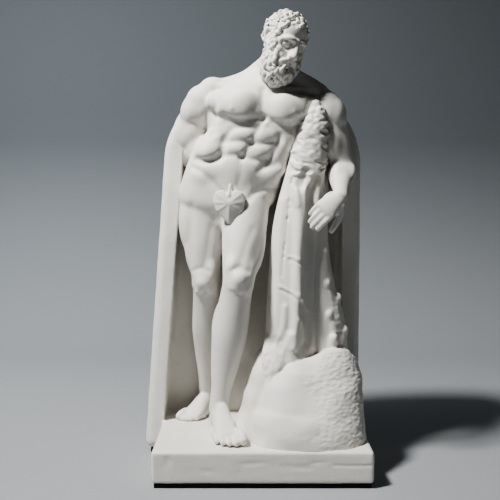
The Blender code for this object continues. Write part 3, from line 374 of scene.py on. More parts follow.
def hand(clay, wrist, reach, palm, curls, size):
    """A hand that points along reach with its palm turned to palm."""
    across, down, ahead = frame_of(reach, palm)

    def at(forward, out, under=0.0):
        return Vector(wrist) + (ahead * forward + across * out + down * under) * size

    tube(clay, [(*at(-1, 0), 4.4, 3.3), (*at(4, 0), 5.2, 3.2), (*at(9, 0), 6.6, 3.3),
                (*at(14, -0.2), 7.2, 2.9)],
         front=down, steps=3)
    for out in (-1, 1):
        ball(clay, at(6, 4.4 * out, 1.5), (3.2, 2.9, 6), ahead, down)
    for k, length in enumerate((13.5, 15.0, 14.0, 11.2)):
        place = at(12.6 + 0.9 * (k in (1, 2)), 5.4 - 3.55 * k)
        heading = ahead.copy()
        thick = (2.05, 2.1, 2.0, 1.8)[k] * size
        rows = [(*place, thick)]
        for part, bend in ((0.42, 0.8), (0.32, 1.2), (0.26, 0.8)):
            a = curls[k] * bend
            heading = (heading * math.cos(a) + down * math.sin(a)).normalized()
            place = place + heading * length * part * size
            thick *= 0.94
            rows.append((*place, thick))
        tube(clay, rows, steps=3, sides=16, front=across)
    thumb = [at(3, 4.5, 1.2), at(9.5, 9.3, 4.0), at(14.6, 11.0, 5.6), at(18.4, 11.9, 6.8)]
    tube(clay, [(*p, r * size) for p, r in zip(thumb, (2.8, 2.3, 2.1, 1.8))], steps=3, sides=16, front=down)


LEAF_PLACE = (-21.2, -8.0, 150.5)
# The leaf's outline: angle from the top in degrees, reach. It has a notch at the stalk and a tip below.
LEAF_OUTLINE = ((0, 5.6), (14, 7.6), (30, 10.2), (50, 11.2), (72, 10.6), (95, 9.6), (115, 9.6),
                (135, 9.2), (155, 9.8),
                (170, 11.8), (180, 13.2))
LEAF_VEINS = (0, 52, 86, 122, 180)
LEAF_DOME, LEAF_SINK = 2.2, 4.5


def leaf(clay):
    """The leaf: a domed, heart-shaped sheet with raised veins and a short stalk."""
    around, across = 120, 14
    middle = Vector(LEAF_PLACE)
    rings = []
    for side, rows in ((1, range(1, across + 1)), (-1, range(across, 0, -1))):
        for row in rows:
            t = row / across
            ring = []
            for k in range(around):
                angle = 360 * k / around
                fold = min(angle, 360 - angle)
                reach = float(np.interp(fold, *zip(*LEAF_OUTLINE)))
                vein = max(math.exp(-((fold - at) * t / 3.0) ** 2) for at in LEAF_VEINS)
                dome = LEAF_DOME * (1 - 1.1 * t * t) + 0.5 * vein
                a = math.radians(angle)
                depth = -dome if side > 0 else LEAF_SINK
                offset = Vector((math.sin(a) * reach * t, depth, math.cos(a) * reach * t))
                ring.append(clay.verts.new(middle + offset))
            rings.append(ring)
    close_tube(clay, rings)
    ball(clay, middle + Vector((0, 4.5, 0)), (6.5, 5.0, 7.0))
    tube(clay, [(*(middle + Vector((0, -1.2, 5))), 1.1), (*(middle + Vector((0.3, 0.6, 8.5))), 1.0),
                (*(middle + Vector((0.8, 4.0, 11.5))), 0.9)], steps=3, sides=12)


def ends(clay):
    """The feet, the hands and the leaf."""
    foot(clay, ANKLE_R, -36, 1, 0.76)
    foot(clay, ANKLE_L, 16, -1, 1.12)
    hand(clay, WRIST_R, (0.85, 0.05, -0.50), (0.0, -0.95, 0.2), (0.2, 0.2, 0.25, 0.3), 0.92)
    hand(clay, WRIST_L, (-0.75, -0.25, -0.62), (-0.1, 0.9, -0.35), (0.35, 0.45, 0.5, 0.55), 1.0)
    leaf(clay)


# The head, upright and facing the front, with its middle between the eyes
SCALP, SCALP_REACH = (0, 2.2, 4.6), (12.9, 15.7, 14.2)
BEARD, BEARD_REACH = (0, -5.4, -13.0), (11.8, 11.2, 15.0)
# Hollows of the left half: the eye socket, its inner corner and the temple, as place, reach and push
HOLLOWS = (
    ((5.2, -13.0, -0.2), (4.8, 7.0, 3.8), (0, 2.3, 0)),
    ((2.6, -14.5, 1.6), (1.8, 4.0, 2.6), (0, 1.0, 0)),
    ((11, -7, 6), (3, 5, 5), (-0.7, 0, 0)),
)


def skull(clay):
    """The bare head: skull, jaw, cheeks, brow and nose."""
    ball(clay, (0, 2.0, 4.5), (12.4, 15.2, 14.0))
    ball(clay, (0, -5.6, 8.0), (10.4, 8.4, 8.4))
    tube(clay, [(0, -4.5, 4, 10.0, 8.4), (0, -5.2, -4, 9.2, 8.4), (0, -6.2, -10, 8.2, 8.2),
                (0, -7.6, -17, 6.0, 6.6)],
         square=2.3)
    ball(clay, (0, -12.2, -9.6), (5.0, 3.4, 4.0))
    ball(clay, (0, -12.6, -17.0), (4.2, 3.2, 3.4))
    for s in (-1, 1):
        ball(clay, (s * 6.9, -8.4, -4.0), (4.4, 4.2, 3.6), (s * 0.3, 0.2, 1))
        ball(clay, (s * 4.8, -10.0, -8), (4.2, 3.9, 5.6))
        ball(clay, (s * 7.6, -5.4, -10), (3.8, 6.4, 7.0))
        ball(clay, (s * 9.4, -5.0, 1.5), (2.4, 5.5, 6.5))
        tube(clay, [(s * 0.6, -14.3, 3.1, 1.6, 1.5), (s * 4.0, -14.4, 4.5, 1.9, 1.7),
                    (s * 7.4, -12.9, 4.4, 1.7, 1.6),
                    (s * 9.2, -9.8, 2.8, 1.2, 1.2)], steps=3, sides=12)
    # nose
    tube(clay, [(0, -12.0, 4.6, 2.6, 2.6), (0, -12.8, 0.5, 2.8, 3.0),
                (0, -14.0, -4.6, 3.0, 3.2)], steps=3, sides=14)
    tube(clay, [(0, -13.8, 4.8, 2.2, 2.0), (0, -15.2, 1.8, 1.8, 2.0), (0, -16.9, -2.0, 2.0, 2.2),
                (0, -18.0, -5.0, 2.4, 2.2)], steps=4, sides=14)
    for s in (-1, 1):
        ball(clay, (s * 2.4, -16.2, -5.9), (1.5, 2.0, 1.6))
    ball(clay, (0, -17.5, -6.0), (2.0, 2.0, 1.6))


def eyes_and_lips(clay):
    """The eyeballs with their lids, and the two lips."""
    for s in (-1, 1):
        ball(clay, (s * 5.1, -9.7, 0.2), (3.4, 2.9, 2.3))
        upper = []
        for k in range(7):
            t = -1 + k / 3
            upper.append((s * (5.1 + 3.3 * t), -12.0 + 2.4 * t * t, 0.5 + 1.2 * (1 - t * t) - 0.2 * t, 0.6))
        tube(clay, upper, steps=2, sides=8)
        tube(clay, [(x, y + 0.35, 0.1 - (z - 0.5) * 0.9, 0.4) for x, y, z, _ in upper], steps=2, sides=8)
    for rows in ([(3.4, -14.2, -11.5, 0.5), (1.5, -15.6, -10.9, 0.95), (0, -15.9, -11.1, 0.85)],
                 [(3.0, -14.2, -12.0, 0.5), (1.2, -15.4, -12.9, 1.05), (0, -15.5, -12.95, 1.05)]):
        whole = [(-x, y, z, r) for x, y, z, r in rows] + rows[-2::-1]
        tube(clay, whole, steps=3, sides=8)


def ears(clay):
    """Each ear's rim, its bowl and the small flap before it."""
    for s in (-1, 1):
        tube(clay, [(s * 11.6, -1.6, 1.6, 1.0), (s * 13.2, 0.4, 4.8, 1.1), (s * 14.2, 3.6, 4.0, 1.2),
                    (s * 14.0, 4.0, 0.2, 1.1), (s * 12.8, 1.8, -3.4, 1.1),
                    (s * 11.8, -0.6, -4.6, 1.3)], steps=3, sides=10)
        ball(clay, (s * 11.8, 1.2, 0.4), (1.6, 2.6, 4.0))
        ball(clay, (s * 12.2, -1.4, -0.6), (1.0, 1.0, 1.5))


def spread(count):
    """Directions spread evenly over a ball."""
    golden = math.pi * (3 - math.sqrt(5))
    for k in range(count):
        z = 1 - 2 * (k + 0.5) / count
        r = math.sqrt(1 - z * z)
        yield Vector((math.cos(golden * k) * r, math.sin(golden * k) * r, z))


def on_egg(direction, centre, reach):
    """The point of an egg in that direction, and which way is out there."""
    place = Vector([centre[i] + reach[i] * direction[i] for i in range(3)])
    return place, Vector([direction[i] / reach[i] for i in range(3)]).normalized()


def hairline(p):
    """The lowest height that hair grows at."""
    if p.y < -5.0:
        return 11.6 - 0.030 * p.x * p.x
    if p.y < 5.5:
        return 6.2 if p.y > -2.5 else 4.6
    return -8.5 - 0.25 * p.y


SNAIL_WIND = 6.4


def snail(clay, place, out, turn, size, thick, way, rise):
    """A curl of hair that winds in on itself."""
    u, v, w = frame_of(out, (0.31, 0.2, 1) if abs(out.z) < 0.9 else (1, 0, 0))
    rows = []
    for k in range(11):
        t = k / 10
        a = turn + way * t * SNAIL_WIND
        r = size * (1 - 0.78 * t)
        q = place + u * (math.cos(a) * r) + v * (math.sin(a) * r) + w * (-0.6 + rise * 1.5 * t)
        rows.append((*q, thick * (0.55 + 0.5 * math.sin(math.pi * min(1, 0.12 + t)))))
    tube(clay, rows, steps=1, sides=7, front=out, ends=False)


def lock(clay, place, out, flow, length, thick, wave, phase, lift):
    """A wavy lock that lies along flow and curls up at its end."""
    u, v, w = frame_of(out, flow)
    rows = []
    for k in range(9):
        t = k / 8
        along = length * (t - 0.35)
        side = wave * math.sin(phase + 5.0 * t)
        tip = max(0, t - 0.7) / 0.3
        up = lift * math.sin(math.pi * min(1, t * 1.1)) + tip - 0.3 - 0.045 * along**2
        q = place + v * (along - 0.8 * tip * tip) + u * side + w * up
        thickness = thick * (0.45 + 0.65 * math.sin(math.pi * min(0.92, 0.18 + 0.74 * t)))
        rows.append((*q, thickness, thickness * 0.9))
    tube(clay, rows, steps=1, sides=8, front=out, ends=False)


def one_way(rng):
    """A curl's winding: one way or the other."""
    return 1 if rng.random() < 0.5 else -1


SNAIL_SHARE_OF_HAIR, SNAIL_SHARE_OF_BEARD = 0.45, 0.35


def curls(clay, rng):
    """The hair: curls all over the scalp, forelocks, temples and side whiskers."""
    for d in spread(HAIR_CURLS):
        place, out = on_egg(d, SCALP, SCALP_REACH)
        if place.z > hairline(place):
            lift = rng.uniform(-0.2, 1.3)
            if rng.random() < SNAIL_SHARE_OF_HAIR:
                snail(clay, place + out * lift, out, rng.uniform(0, 6.28), rng.uniform(1.9, 2.4),
                      rng.uniform(0.9, 1.15), one_way(rng), rng.uniform(0.8, 1.6))
            else:
                flow = (rng.uniform(-1, 1), rng.uniform(-0.6, 0.8), rng.uniform(-1, 0.4))
                lock(clay, place + out * lift, out, flow, rng.uniform(4.0, 5.4), rng.uniform(1.05, 1.35),
                     rng.uniform(0.8, 1.5), rng.uniform(0, 6.28), 1.2)
    # forelocks turn down over the brow's edge
    for k in range(-1, FORELOCKS - 1):
        x = -9.6 + 2.4 * k
        place = Vector((x, -10.6 + 0.055 * x * x, 12.6 - 0.030 * x * x))
        out = Vector((x * 0.05, -0.8, 0.6)).normalized()
        lock(clay, place, out, (0.25 * math.sin(k * 2.1), -0.3, -1), 5.5, 1.35, 0.8, k * 1.7, 0.7)
    # temples and side whiskers
    for s in (-1, 1):
        for k in range(7):
            for j in range(3):
                out = Vector((s, -0.45 + 0.3 * j, 0)).normalized()
                level = 7.6 - 2.7 * k - 1.2 * (j % 2)
                place = Vector((s * (11.6 + 0.25 * j), -5.6 - 0.3 * k + 2.9 * j, level))
                if j < 2 or place.z < -3.0:
                    flow = (0, 0.5 * math.sin(1.7 * k + j), -1)
                    lock(clay, place, out, flow, 4.8, 1.15, 1.1, k * 1.9 + j * 2 + s, 1.2)


def beard(clay, rng):
    """The full beard with its tuft, and the moustache."""
    ball(clay, (0, -6.2, -16.4), (9.8, 8.8, 9.2))
    tube(clay, [(0, -8.6, -14.5, 8.0, 5.4), (0, -9.0, -19, 7.4, 5.8), (0, -9.6, -23, 4.6, 4.2)], square=2.2)
    for s in (-1, 1):
        tube(clay, [(s * 10.2, -1.0, 3, 1.6, 2.2), (s * 9.8, -2.0, -5, 2.6, 3.8),
                    (s * 8.4, -4.5, -12.0, 3.6, 4.6),
                    (s * 5.2, -8.5, -17.0, 4.0, 4.6)], steps=4)
        ball(clay, (s * 8.6, -6.4, -7.5), (2.8, 3.8, 5.5))
    for d in spread(BEARD_CURLS):
        place, out = on_egg(d, BEARD, BEARD_REACH)
        bare = abs(place.x) < 8.0 + (place.z + 14) * 0.12 and place.z > -14.5
        if place.y > 3.5 or place.z > (-2.5 if place.y < -3 else -4.5) or (bare and place.y < 0):
            continue
        down = Vector((-0.25 * place.x / 10 + rng.uniform(-0.6, 0.6), -0.35, -1))
        if rng.random() < SNAIL_SHARE_OF_BEARD:
            snail(clay, place + out * 0.3, out, rng.uniform(0, 6.28), 2.4, 1.15, one_way(rng), 1.4)
        else:
            lock(clay, place + out * rng.uniform(-0.3, 0.5), out, down, rng.uniform(6.0, 8.0),
                 rng.uniform(1.25, 1.5), rng.uniform(0.9, 1.6), rng.uniform(0, 6.28), 1.3)
    # the tuft under the lower lip
    for x in (-4.5, -1.6, 1.6, 4.5):
        lock(clay, Vector((x, -15.4 + 0.1 * x * x, -17.2)), Vector((x * 0.1, -1, -0.2)), (x * 0.15, 0, -1),
             6.0, 1.4, 0.9, 2.1 * x, 0.8)
    # moustache: strands from under the nose, out and down into the beard
    for s in (-1, 1):
        ball(clay, (s * 5.6, -10.6, -12.0), (3.6, 3.6, 4.2))
        for j in range(3):
            tube(clay, [(s * (0.7 + 0.2 * j), -16.9 + 0.3 * j, -7.8 - 0.8 * j, 0.9),
                        (s * 3.6, -16.0 + 0.3 * j, -8.6 - 1.0 * j, 1.35),
                        (s * 6.2, -14.2 + 0.2 * j, -10.6 - 1.2 * j, 1.35),
                        (s * 8.0, -12.0, -13.8 - 1.0 * j, 1.1),
                        (s * 8.6, -10.6, -16.6 - 0.8 * j, 0.8)],
                 steps=3, sides=8)


# The cloth, the stump and the rock
# The cloth's middle x and y, its level, half width and half depth
CLOTH_LEVELS = ((19, 3, 38, 19, 18), (19, 2, 58, 15.5, 16), (20, 2, 95, 14.5, 15), (23, 3, 138, 14, 12.5),
                (30.8, 4.5, 178, 11.8, 10), (34.2, 3.5, 202, 8.2, 8), (35.2, 4, 214, 5, 5))
# Broad folds of the cloth: angle at the foot and at the top (90 is the front), breadth, rise
CLOTH_FOLDS = ((196, 184, 17, 1.6), (166, 168, 14, 1.4), (142, 152, 13, 0.8), (84, 100, 15, 1.2),
               (42, 66, 12, -1.6),
               (20, 40, 12, 1.2))
# Folds of the front, as (x, z) paths, with breadth and depth, less than nothing where they stand out
FRONT_FOLDS = (
    (((22.6, 158), (23.8, 138), (22.6, 112), (22.4, 84), (20.5, 58)), 2.2, -1.7),
    (((27.5, 160), (27.0, 138), (26.2, 112), (25.0, 90)), 2.0, -1.5),
    (((31.6, 160), (32.0, 138), (31.6, 108), (30.8, 84), (28.5, 60)), 3.2, 1.5),
    (((18.6, 150), (18.4, 124), (17.6, 98), (17.4, 70)), 2.4, 1.1),
    (((13.0, 152), (11.4, 124), (10.4, 96), (8.6, 66)), 2.4, -1.1),
    (((33.5, 150), (36.0, 142), (37.0, 132)), 2.2, -0.9),
    (((24.5, 76), (27.5, 66), (31.0, 57)), 2.0, -1.2), (((15.0, 84), (14.0, 72), (9.0, 58),
    (5.0, 44)), 2.0, -1.0),
    (((18.5, 66), (14.0, 56), (10.5, 46)), 2.2, -0.9), (((11.0, 62), (7.0, 52), (3.0, 44)), 1.8, 0.8),
    (((19.0, 168), (21.5, 160), (22.6, 150)), 2.2, -1.0),
)


def cloth_at(z):
    """The cloth's middle x and y, half width and half depth at a height."""
    levels = np.array(CLOTH_LEVELS, float)
    return [float(np.interp(z, levels[:, 2], levels[:, k])) for k in (0, 1, 3, 4)]


def cloth(clay):
    """The cloth over the stump: a hanging tube whose wall runs in folds."""
    sides = 200
    rings = []
    for x, y, z, wide, deep in smooth_through(CLOTH_LEVELS, 14):
        up = (z - 38) / 175
        ring = []
        for k in range(sides):
            angle = 360 * k / sides
            swell = 0.0
            for foot_angle, top_angle, breadth, rise in CLOTH_FOLDS:
                mid = foot_angle + (top_angle - foot_angle) * up + 2.5 * math.sin(z * 0.05 + foot_angle)
                gap = (angle - mid + 180) % 360 - 180
                swell += rise * (1.1 - 0.45 * up) * math.exp(-(gap / breadth) ** 2)
            a = math.radians(angle)
            place = (x + math.cos(a) * (wide + swell), y - math.sin(a) * (deep + swell), z)
            ring.append(clay.verts.new(place))
        rings.append(ring)
    close_tube(clay, rings)


def gathers(clay, rng):
    """The crumpled folds of the cloth bunched under the arm."""
    for i in range(CLOTH_GATHERS):
        z = GATHERS_TOP - GATHER_STEP * i
        mid_x, mid_y, wide, deep = cloth_at(z)
        middle = (0.5, -0.45, 0.05, -0.75, 0.75)[i % 5] + rng.uniform(-0.15, 0.15)
        half = rng.uniform(3.0, 5.2) * min(1.0, wide / 10)
        slope = math.tan(math.radians(rng.uniform(-38, 22)))
        bow = rng.uniform(-1.4, 1.8)
        phase = rng.uniform(0, 6.28)
        fade = min(1.0, 0.55 + (z - 168) / 30)
        rows = []
        for k in range(7):
            t = -1 + k / 3
            x = mid_x + wide * middle * 0.85 + half * t
            over = min(0.96, abs(x - mid_x) / (wide + 1))
            y = mid_y - (deep + 0.9) * math.sqrt(1 - over * over)
            rows.append((x, y, z + slope * half * t - bow * (1 - t * t) + 0.7 * math.sin(phase + 2.6 * t),
                         fade * (1.5 * (1 - 0.6 * t * t) + 0.25 * math.sin(phase + 3 * t))))
        tube(clay, rows, steps=3, sides=10)
    for x, z, r in ((35, 214, 3.4), (38.5, 210, 3.0), (32.5, 210, 2.8), (36.5, 206.5, 3.2)):
        ball(clay, (x, 0.6 - 0.2 * (213 - z), z), (r, r * 0.9, r * 1.1))


# Knots where twigs were cut off the stump: x, z and half size
KNOTS = ((41.5, 119, 2.2), (43.0, 98, 2.4), (51.6, 88, 2.8), (44, 78, 2.4), (55.5, 66.5, 3.0),
         (47, 62, 2.6))


def stump(clay):
    """The tree stump behind the cloth, with its knots."""
    tube(clay, [(42, 11, 34, 18, 16), (42.5, 10, 54, 15.5, 15), (42, 9, 72, 13.5, 13.5),
                (40, 9, 86, 11.5, 12.5),
                (38.2, 9, 100, 9.6, 11.5), (37, 9.5, 119, 7.8, 10.5), (36.5, 10, 138, 7.6, 10.5),
                (36, 11, 175, 8, 8),
                (36, 12, 205, 6, 6)], square=2.3)
    for x, z, r in KNOTS:
        middle, wide = 38.5 + 3.5 * (110 - z) / 40, 10.0 + 4.5 * (110 - z) / 40
        over = max(-0.9, min(0.97, (x - middle) / wide))
        out = Vector((over, -math.sqrt(1 - over * over), 0))
        place = Vector((x, 9 + out.y * wide, z))
        ball(clay, place - out * r * 0.3, (r * 1.1, r * 0.9, r * 1.3), (0.1, 0, 1), out)
        ball(clay, place - out * r * 0.8 - Vector((0, 0, r)), (r * 1.5, r, r * 2.6), (0, 0, 1), out)


def boulder(clay):
    """The rock: a blocky mass with a round-edged top, its left side running down to the ground."""
    tube(clay, [(29, -3, -6, 38.8, 41), (29, -3, 3, 38.6, 40), (30, -1.5, 10, 37.2, 36.5),
                (31, 1, 20, 36, 33.5),
                (31.8, 3.5, 29, 35, 31), (32.3, 5.5, 36, 34, 29), (32, 7, 41.5, 31, 26),
                (31, 8.5, 45.6, 24.5, 20.5),
                (30, 9, 47.6, 14, 12)], square=2.9, ends=False, sides=56)
    ball(clay, (46, 0, 27), (20, 29.5, 15))
    ball(clay, (20, -4, 18), (21, 29, 20))
    # the skirt on its left, which runs down behind the foot
    tube(clay, [(8, 5, 53, 4, 8), (5, 3, 48.5, 8.5, 14), (2, 0, 36, 10.5, 18), (-0.5, -1, 20, 12, 19),
                (-5, -2, 4, 12.5, 20), (-7, -2, -4, 13, 20)], square=2.3, ends=False, sides=40)


def cloth_corner(clay):
    """The cloth's end, spilt over the rock's left shoulder."""
    tube(clay, [(15, 1, 72, 9, 5), (11.5, -4, 61, 10, 4.5), (8.5, -11.5, 51, 9, 4),
                (6.8, -16, 42, 6.6, 3.2),
                (6.2, -19, 34.5, 3.4, 1.9)], front=(0, -1, 0.45), square=2.3)


# Working the skin
def to_object(clay, name):
    """Turns the clay into a named object with its faces pointing out."""
    mesh = bpy.data.meshes.new(name)
    bmesh.ops.recalc_face_normals(clay, faces=clay.faces)
    clay.to_mesh(mesh)
    clay.free()
    obj = bpy.data.objects.new(name, mesh)
    bpy.context.scene.collection.objects.link(obj)
    return obj


def settle(obj):
    """Makes the modifiers' result the object's own mesh."""
    graph = bpy.context.evaluated_depsgraph_get()
    mesh = bpy.data.meshes.new_from_object(obj.evaluated_get(graph))
    obj.modifiers.clear()
    obj.data = mesh


def run_together(obj, grain):
    """Fuses overlapping masses into one skin as fine as grain."""
    m = obj.modifiers.new("grain", "REMESH")
    m.mode = "VOXEL"
    m.voxel_size = grain
    settle(obj)


def thin_out(obj, triangles):
    """Cuts the mesh down to that many triangles."""
    count = 2 * len(obj.data.polygons)
    if count > triangles:
        m = obj.modifiers.new("fewer", "DECIMATE")
        m.ratio = triangles / count
        m.use_collapse_triangulate = True
        settle(obj)


def read(items, name, width, kind=np.float32):
    """One row of numbers for each of a mesh's items."""
    flat = np.empty(len(items) * width, kind)
    items.foreach_get(name, flat)
    return flat.reshape(-1, width)


def points_of(obj):
    return read(obj.data.vertices, "co", 3).astype(float)


def normals_of(obj):
    return read(obj.data.vertices, "normal", 3).astype(float)


def write_points(obj, points):
    obj.data.vertices.foreach_set("co", points.astype(np.float32).ravel())
    obj.data.update()


def relax(obj, rounds):
    """Draws each point towards the mean of its neighbours."""
    points = points_of(obj)
    edges = read(obj.data.edges, "vertices", 2, np.int32)
    starts = np.concatenate([edges[:, 0], edges[:, 1]])
    others = np.concatenate([edges[:, 1], edges[:, 0]])
    degree = np.bincount(starts, minlength=len(points))[:, None]
    for _ in range(rounds):
        total = np.column_stack([np.bincount(starts, points[others, k], len(points)) for k in range(3)])
        points += 0.5 * (total / degree - points)
    write_points(obj, points)


def front_facing(obj):
    """From 0 to 1, how far each point of the skin faces the front."""
    return np.clip(-1.6 * normals_of(obj)[:, 1], 0, 1)


def line_distance(flat, path):
    """Square of each flat point's distance from a smooth path."""
    line = smooth_through(path, 6)
    nearest = np.full(len(flat), 1e9)
    for a, b in zip(line, line[1:]):
        ab = b - a
        t = np.clip(((flat - a) @ ab) / (ab @ ab), 0, 1)
        nearest = np.minimum(nearest, ((flat - a - t[:, None] * ab) ** 2).sum(1))
    return nearest


def crease(obj, path, breadth, depth):
    """Presses a line into the skin that faces the front, or raises it where depth is negative."""
    points = points_of(obj)
    nearest = line_distance(points[:, [0, 2]], path)
    points -= normals_of(obj) * (depth * np.exp(-nearest / breadth**2) * front_facing(obj))[:, None]
    write_points(obj, points)


def swell(obj, spot):
    """Raises or sinks one round place of the skin that faces the front."""
    x, z, wide, tall, rise, tilt = spot
    points = points_of(obj)
    a = math.radians(tilt)
    dx, dz = points[:, 0] - x, points[:, 2] - z
    u = (dx * math.cos(a) + dz * math.sin(a)) / wide
    v = (dz * math.cos(a) - dx * math.sin(a)) / tall
    fall = np.clip(1 - u * u - v * v, 0, 1) ** 2
    points += normals_of(obj) * (rise * fall * front_facing(obj))[:, None]
    write_points(obj, points)


def press(obj, centre, reach, push):
    """Moves the skin near centre by push, fading out at reach."""
    points = points_of(obj)
    gap = (points - np.array(centre)) / np.array(reach)
    fall = np.clip(1 - (gap**2).sum(1), 0, 1) ** 1.3
    points += fall[:, None] * np.array(push)
    write_points(obj, points)


def weather(obj, height_of):
    """Moves each point along its normal by height_of(x, y, z)."""
    points = points_of(obj)
    heights = np.array([height_of(*p) for p in points.tolist()])
    points += normals_of(obj) * heights[:, None]
    write_points(obj, points)


def drape_height(x, y, z):
    """Puckers low on the cloth, where it spills over the rock."""
    low = min(1.0, max(0.0, (68 - z) / 18))
    broad = noise.noise(Vector((x * 0.20, y * 0.20, z * 0.13)))
    return low * (1.3 * broad + 0.5 * noise.noise(Vector((x * 0.45, y * 0.45, z * 0.32))))


def rock_height(x, y, z):
    """Broad dents, with fine chiselled scales on the right half."""
    broad = noise.noise(Vector((x * 0.06, y * 0.06, z * 0.09)))
    patch = 14 * noise.noise(Vector((x * 0.05, 3, z * 0.08)))
    right = min(1.0, max(0.0, (x - 24 + patch) / 16))
    scales = noise.noise(Vector((x * 0.32 - 0.30 * z, y * 0.32, z * 0.85)))
    fine = noise.noise(Vector((x * 0.9, y * 0.9, z * 1.5)))
    return 1.3 * broad + right * (0.50 * scales + 0.16 * fine) + 0.07 * fine


def bark_height(x, y, z):
    """Long fissures, with short cross ridges low on the right side."""
    if x < 33:
        return 0.0
    long_way = noise.noise(Vector((x * 0.22, y * 0.22, z * 0.06)))
    low_right = min(1.0, max(0.0, (x - 42) / 10)) * min(1.0, max(0.0, (104 - z) / 30))
    cross = noise.noise(Vector((x * 0.16 + 0.1 * z, y * 0.16, z * 0.62)))
    return 0.6 * long_way + 0.12 * noise.noise(Vector((x * 0.5, y * 0.5, z * 0.4))) + 0.38 * low_right * cross


def join(objects):
    """Makes several objects one, which keeps the first one's name."""
    with bpy.context.temp_override(active_object=objects[0], selected_editable_objects=objects):
        bpy.ops.object.join()
    return objects[0]


def modelled(name, shapes, grain, rounds):
    """An object made of some shapes of clay, run together and smoothed."""
    clay = bmesh.new()
    for shape in shapes:
        shape(clay)
    obj = to_object(clay, name)
    run_together(obj, grain)
    relax(obj, rounds)
    return obj


def keep_largest(obj):
    """Drops every loose bit but the largest, such as the wall of a sealed hollow."""
    clay = bmesh.new()
    clay.from_mesh(obj.data)
    left = set(clay.verts)
    islands = []
    while left:
        island = {left.pop()}
        rim = list(island)
        while rim:
            for link in rim.pop().link_edges:
                for v in link.verts:
                    if v in left:
                        left.discard(v)
                        island.add(v)
                        rim.append(v)
        islands.append(island)
    largest = max(islands, key=len)
    bmesh.ops.delete(clay, geom=[v for v in clay.verts if v not in largest], context="VERTS")
    clay.to_mesh(obj.data)
    clay.free()


def finish_cast(obj, material, triangles):
    """Thins a sculpted mass out, puts it in its place in metres and gives it its plaster."""
    keep_largest(obj)
    thin_out(obj, triangles)
    obj.data.transform(Matrix.Scale(MM, 4) @ Matrix.Translation((0, 0, PLINTH_TOP)))
    obj.data.shade_smooth()
    dress(obj, material)


def dress(obj, material):
    """Gives a piece its plaster, and lets it stand for the casting."""
    obj.data.materials.clear()
    obj.data.materials.append(material)
    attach(obj, "root")
    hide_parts("statuette")


def figure():
    """The man without his head."""
    man = modelled("man", [body], BODY_GRAIN, 19)
    for spot in SWELLINGS:
        swell(man, spot)
    for path, breadth, depth in CREASES:
        crease(man, path, breadth, depth)
    relax(man, 6)
    mass = join([man, modelled("ends", [ends], END_GRAIN, 3)])
    run_together(mass, FIGURE_GRAIN)
    relax(mass, 2)
    return mass


def head():
    """The head with its hair and beard, turned and nodded into place."""
    rng = np.random.default_rng(HAIR_SEED)
    face = modelled("face", [skull], FACE_GRAIN, 8)
    for s in (-1, 1):
        for (x, y, z), reach, (side, back, up) in HOLLOWS:
            press(face, (s * x, y, z), reach, (s * side, back, up))
    relax(face, 2)
    clay = bmesh.new()
    eyes_and_lips(clay)
    ears(clay)
    curls(clay, rng)
    beard(clay, rng)
    mass = join([face, to_object(clay, "curls")])
    run_together(mass, HEAD_GRAIN)
    relax(mass, 1)
    mass.data.transform(
        Matrix.Translation(HEAD_PLACE) @ Matrix.Rotation(math.radians(HEAD_TURN), 4, "Z")
        @ Matrix.Rotation(math.radians(HEAD_NOD), 4, "X") @ Matrix.Rotation(math.radians(HEAD_TILT), 4, "Y")
        @ Matrix.Scale(HEAD_SIZE, 4))
    return mass


# The cloth's seam and hems, as (x, z) paths, and the hollow beside its bunched top
SEAM_TOP, SEAM_FOOT = (19.2, 166.0), (12.6, 104.0)
HEMS = (
    ((12.4, 97), (18, 94.0), (22.5, 91.5), (27, 86.5), (30, 81)),
    ((17.4, 116.4), (20, 115.8), (23.4, 114.2)),
)
HEM_RISE, HEM_SINK, SEAM_SINK = -0.6, 0.5, 0.4
TOP_HOLLOW = (27.0, 166.5, 5.0, 11, -3.0, -18)


def support():
    """The draped stump and the rock."""
    rng = np.random.default_rng(CLOTH_SEED)
    clay = bmesh.new()
    cloth(clay)
    gathers(clay, rng)
    cloth_corner(clay)
    drape = to_object(clay, "drape")
    run_together(drape, STONE_GRAIN)
    relax(drape, 2)
    # the hems and the row of pits along the seam
    for hem in HEMS:
        crease(drape, hem, 1.1, HEM_RISE)
        crease(drape, [(x - 0.3, z - 1.8) for x, z in hem], 1.0, HEM_SINK)
    for path, breadth, depth in FRONT_FOLDS:
        crease(drape, path, breadth, depth)
    weather(drape, drape_height)
    crease(drape, (SEAM_TOP, SEAM_FOOT), 0.8, SEAM_SINK)
    for _ in range(SEAM_PITS):
        t = rng.uniform(0, 1)
        x = SEAM_TOP[0] + (SEAM_FOOT[0] - SEAM_TOP[0]) * t
        z = SEAM_TOP[1] + (SEAM_FOOT[1] - SEAM_TOP[1]) * t
        swell(drape, (x, z, 1.3, rng.uniform(1.6, 2.8), -0.6, 0))
    swell(drape, TOP_HOLLOW)
    relax(drape, 1)
    trunk = modelled("trunk", [stump], STONE_GRAIN, 8)
    weather(trunk, bark_height)
    rock = modelled("rock", [boulder], ROCK_GRAIN, 9)
    weather(rock, rock_height)
    mass = join([drape, trunk, rock])
    run_together(mass, STONE_GRAIN)
    relax(mass, 1)
    return mass


# The plinth and the slab
def slab_outline(inset, foot_level):
    """The slab's outline from its left foot over the arch to its right foot."""
    left, right = -SLAB_LEFT - inset, SLAB_RIGHT - inset
    points = [(SLAB_LEFT_FOOT + inset, foot_level)]
    for k in range(61):
        a = math.pi * (1 - k / 60)
        half = left if math.cos(a) < 0 else right
        points.append((math.cos(a) * half, SLAB_SPRING + math.sin(a) * (SLAB_RISE - inset)))
    points.append((right, foot_level))
    return points


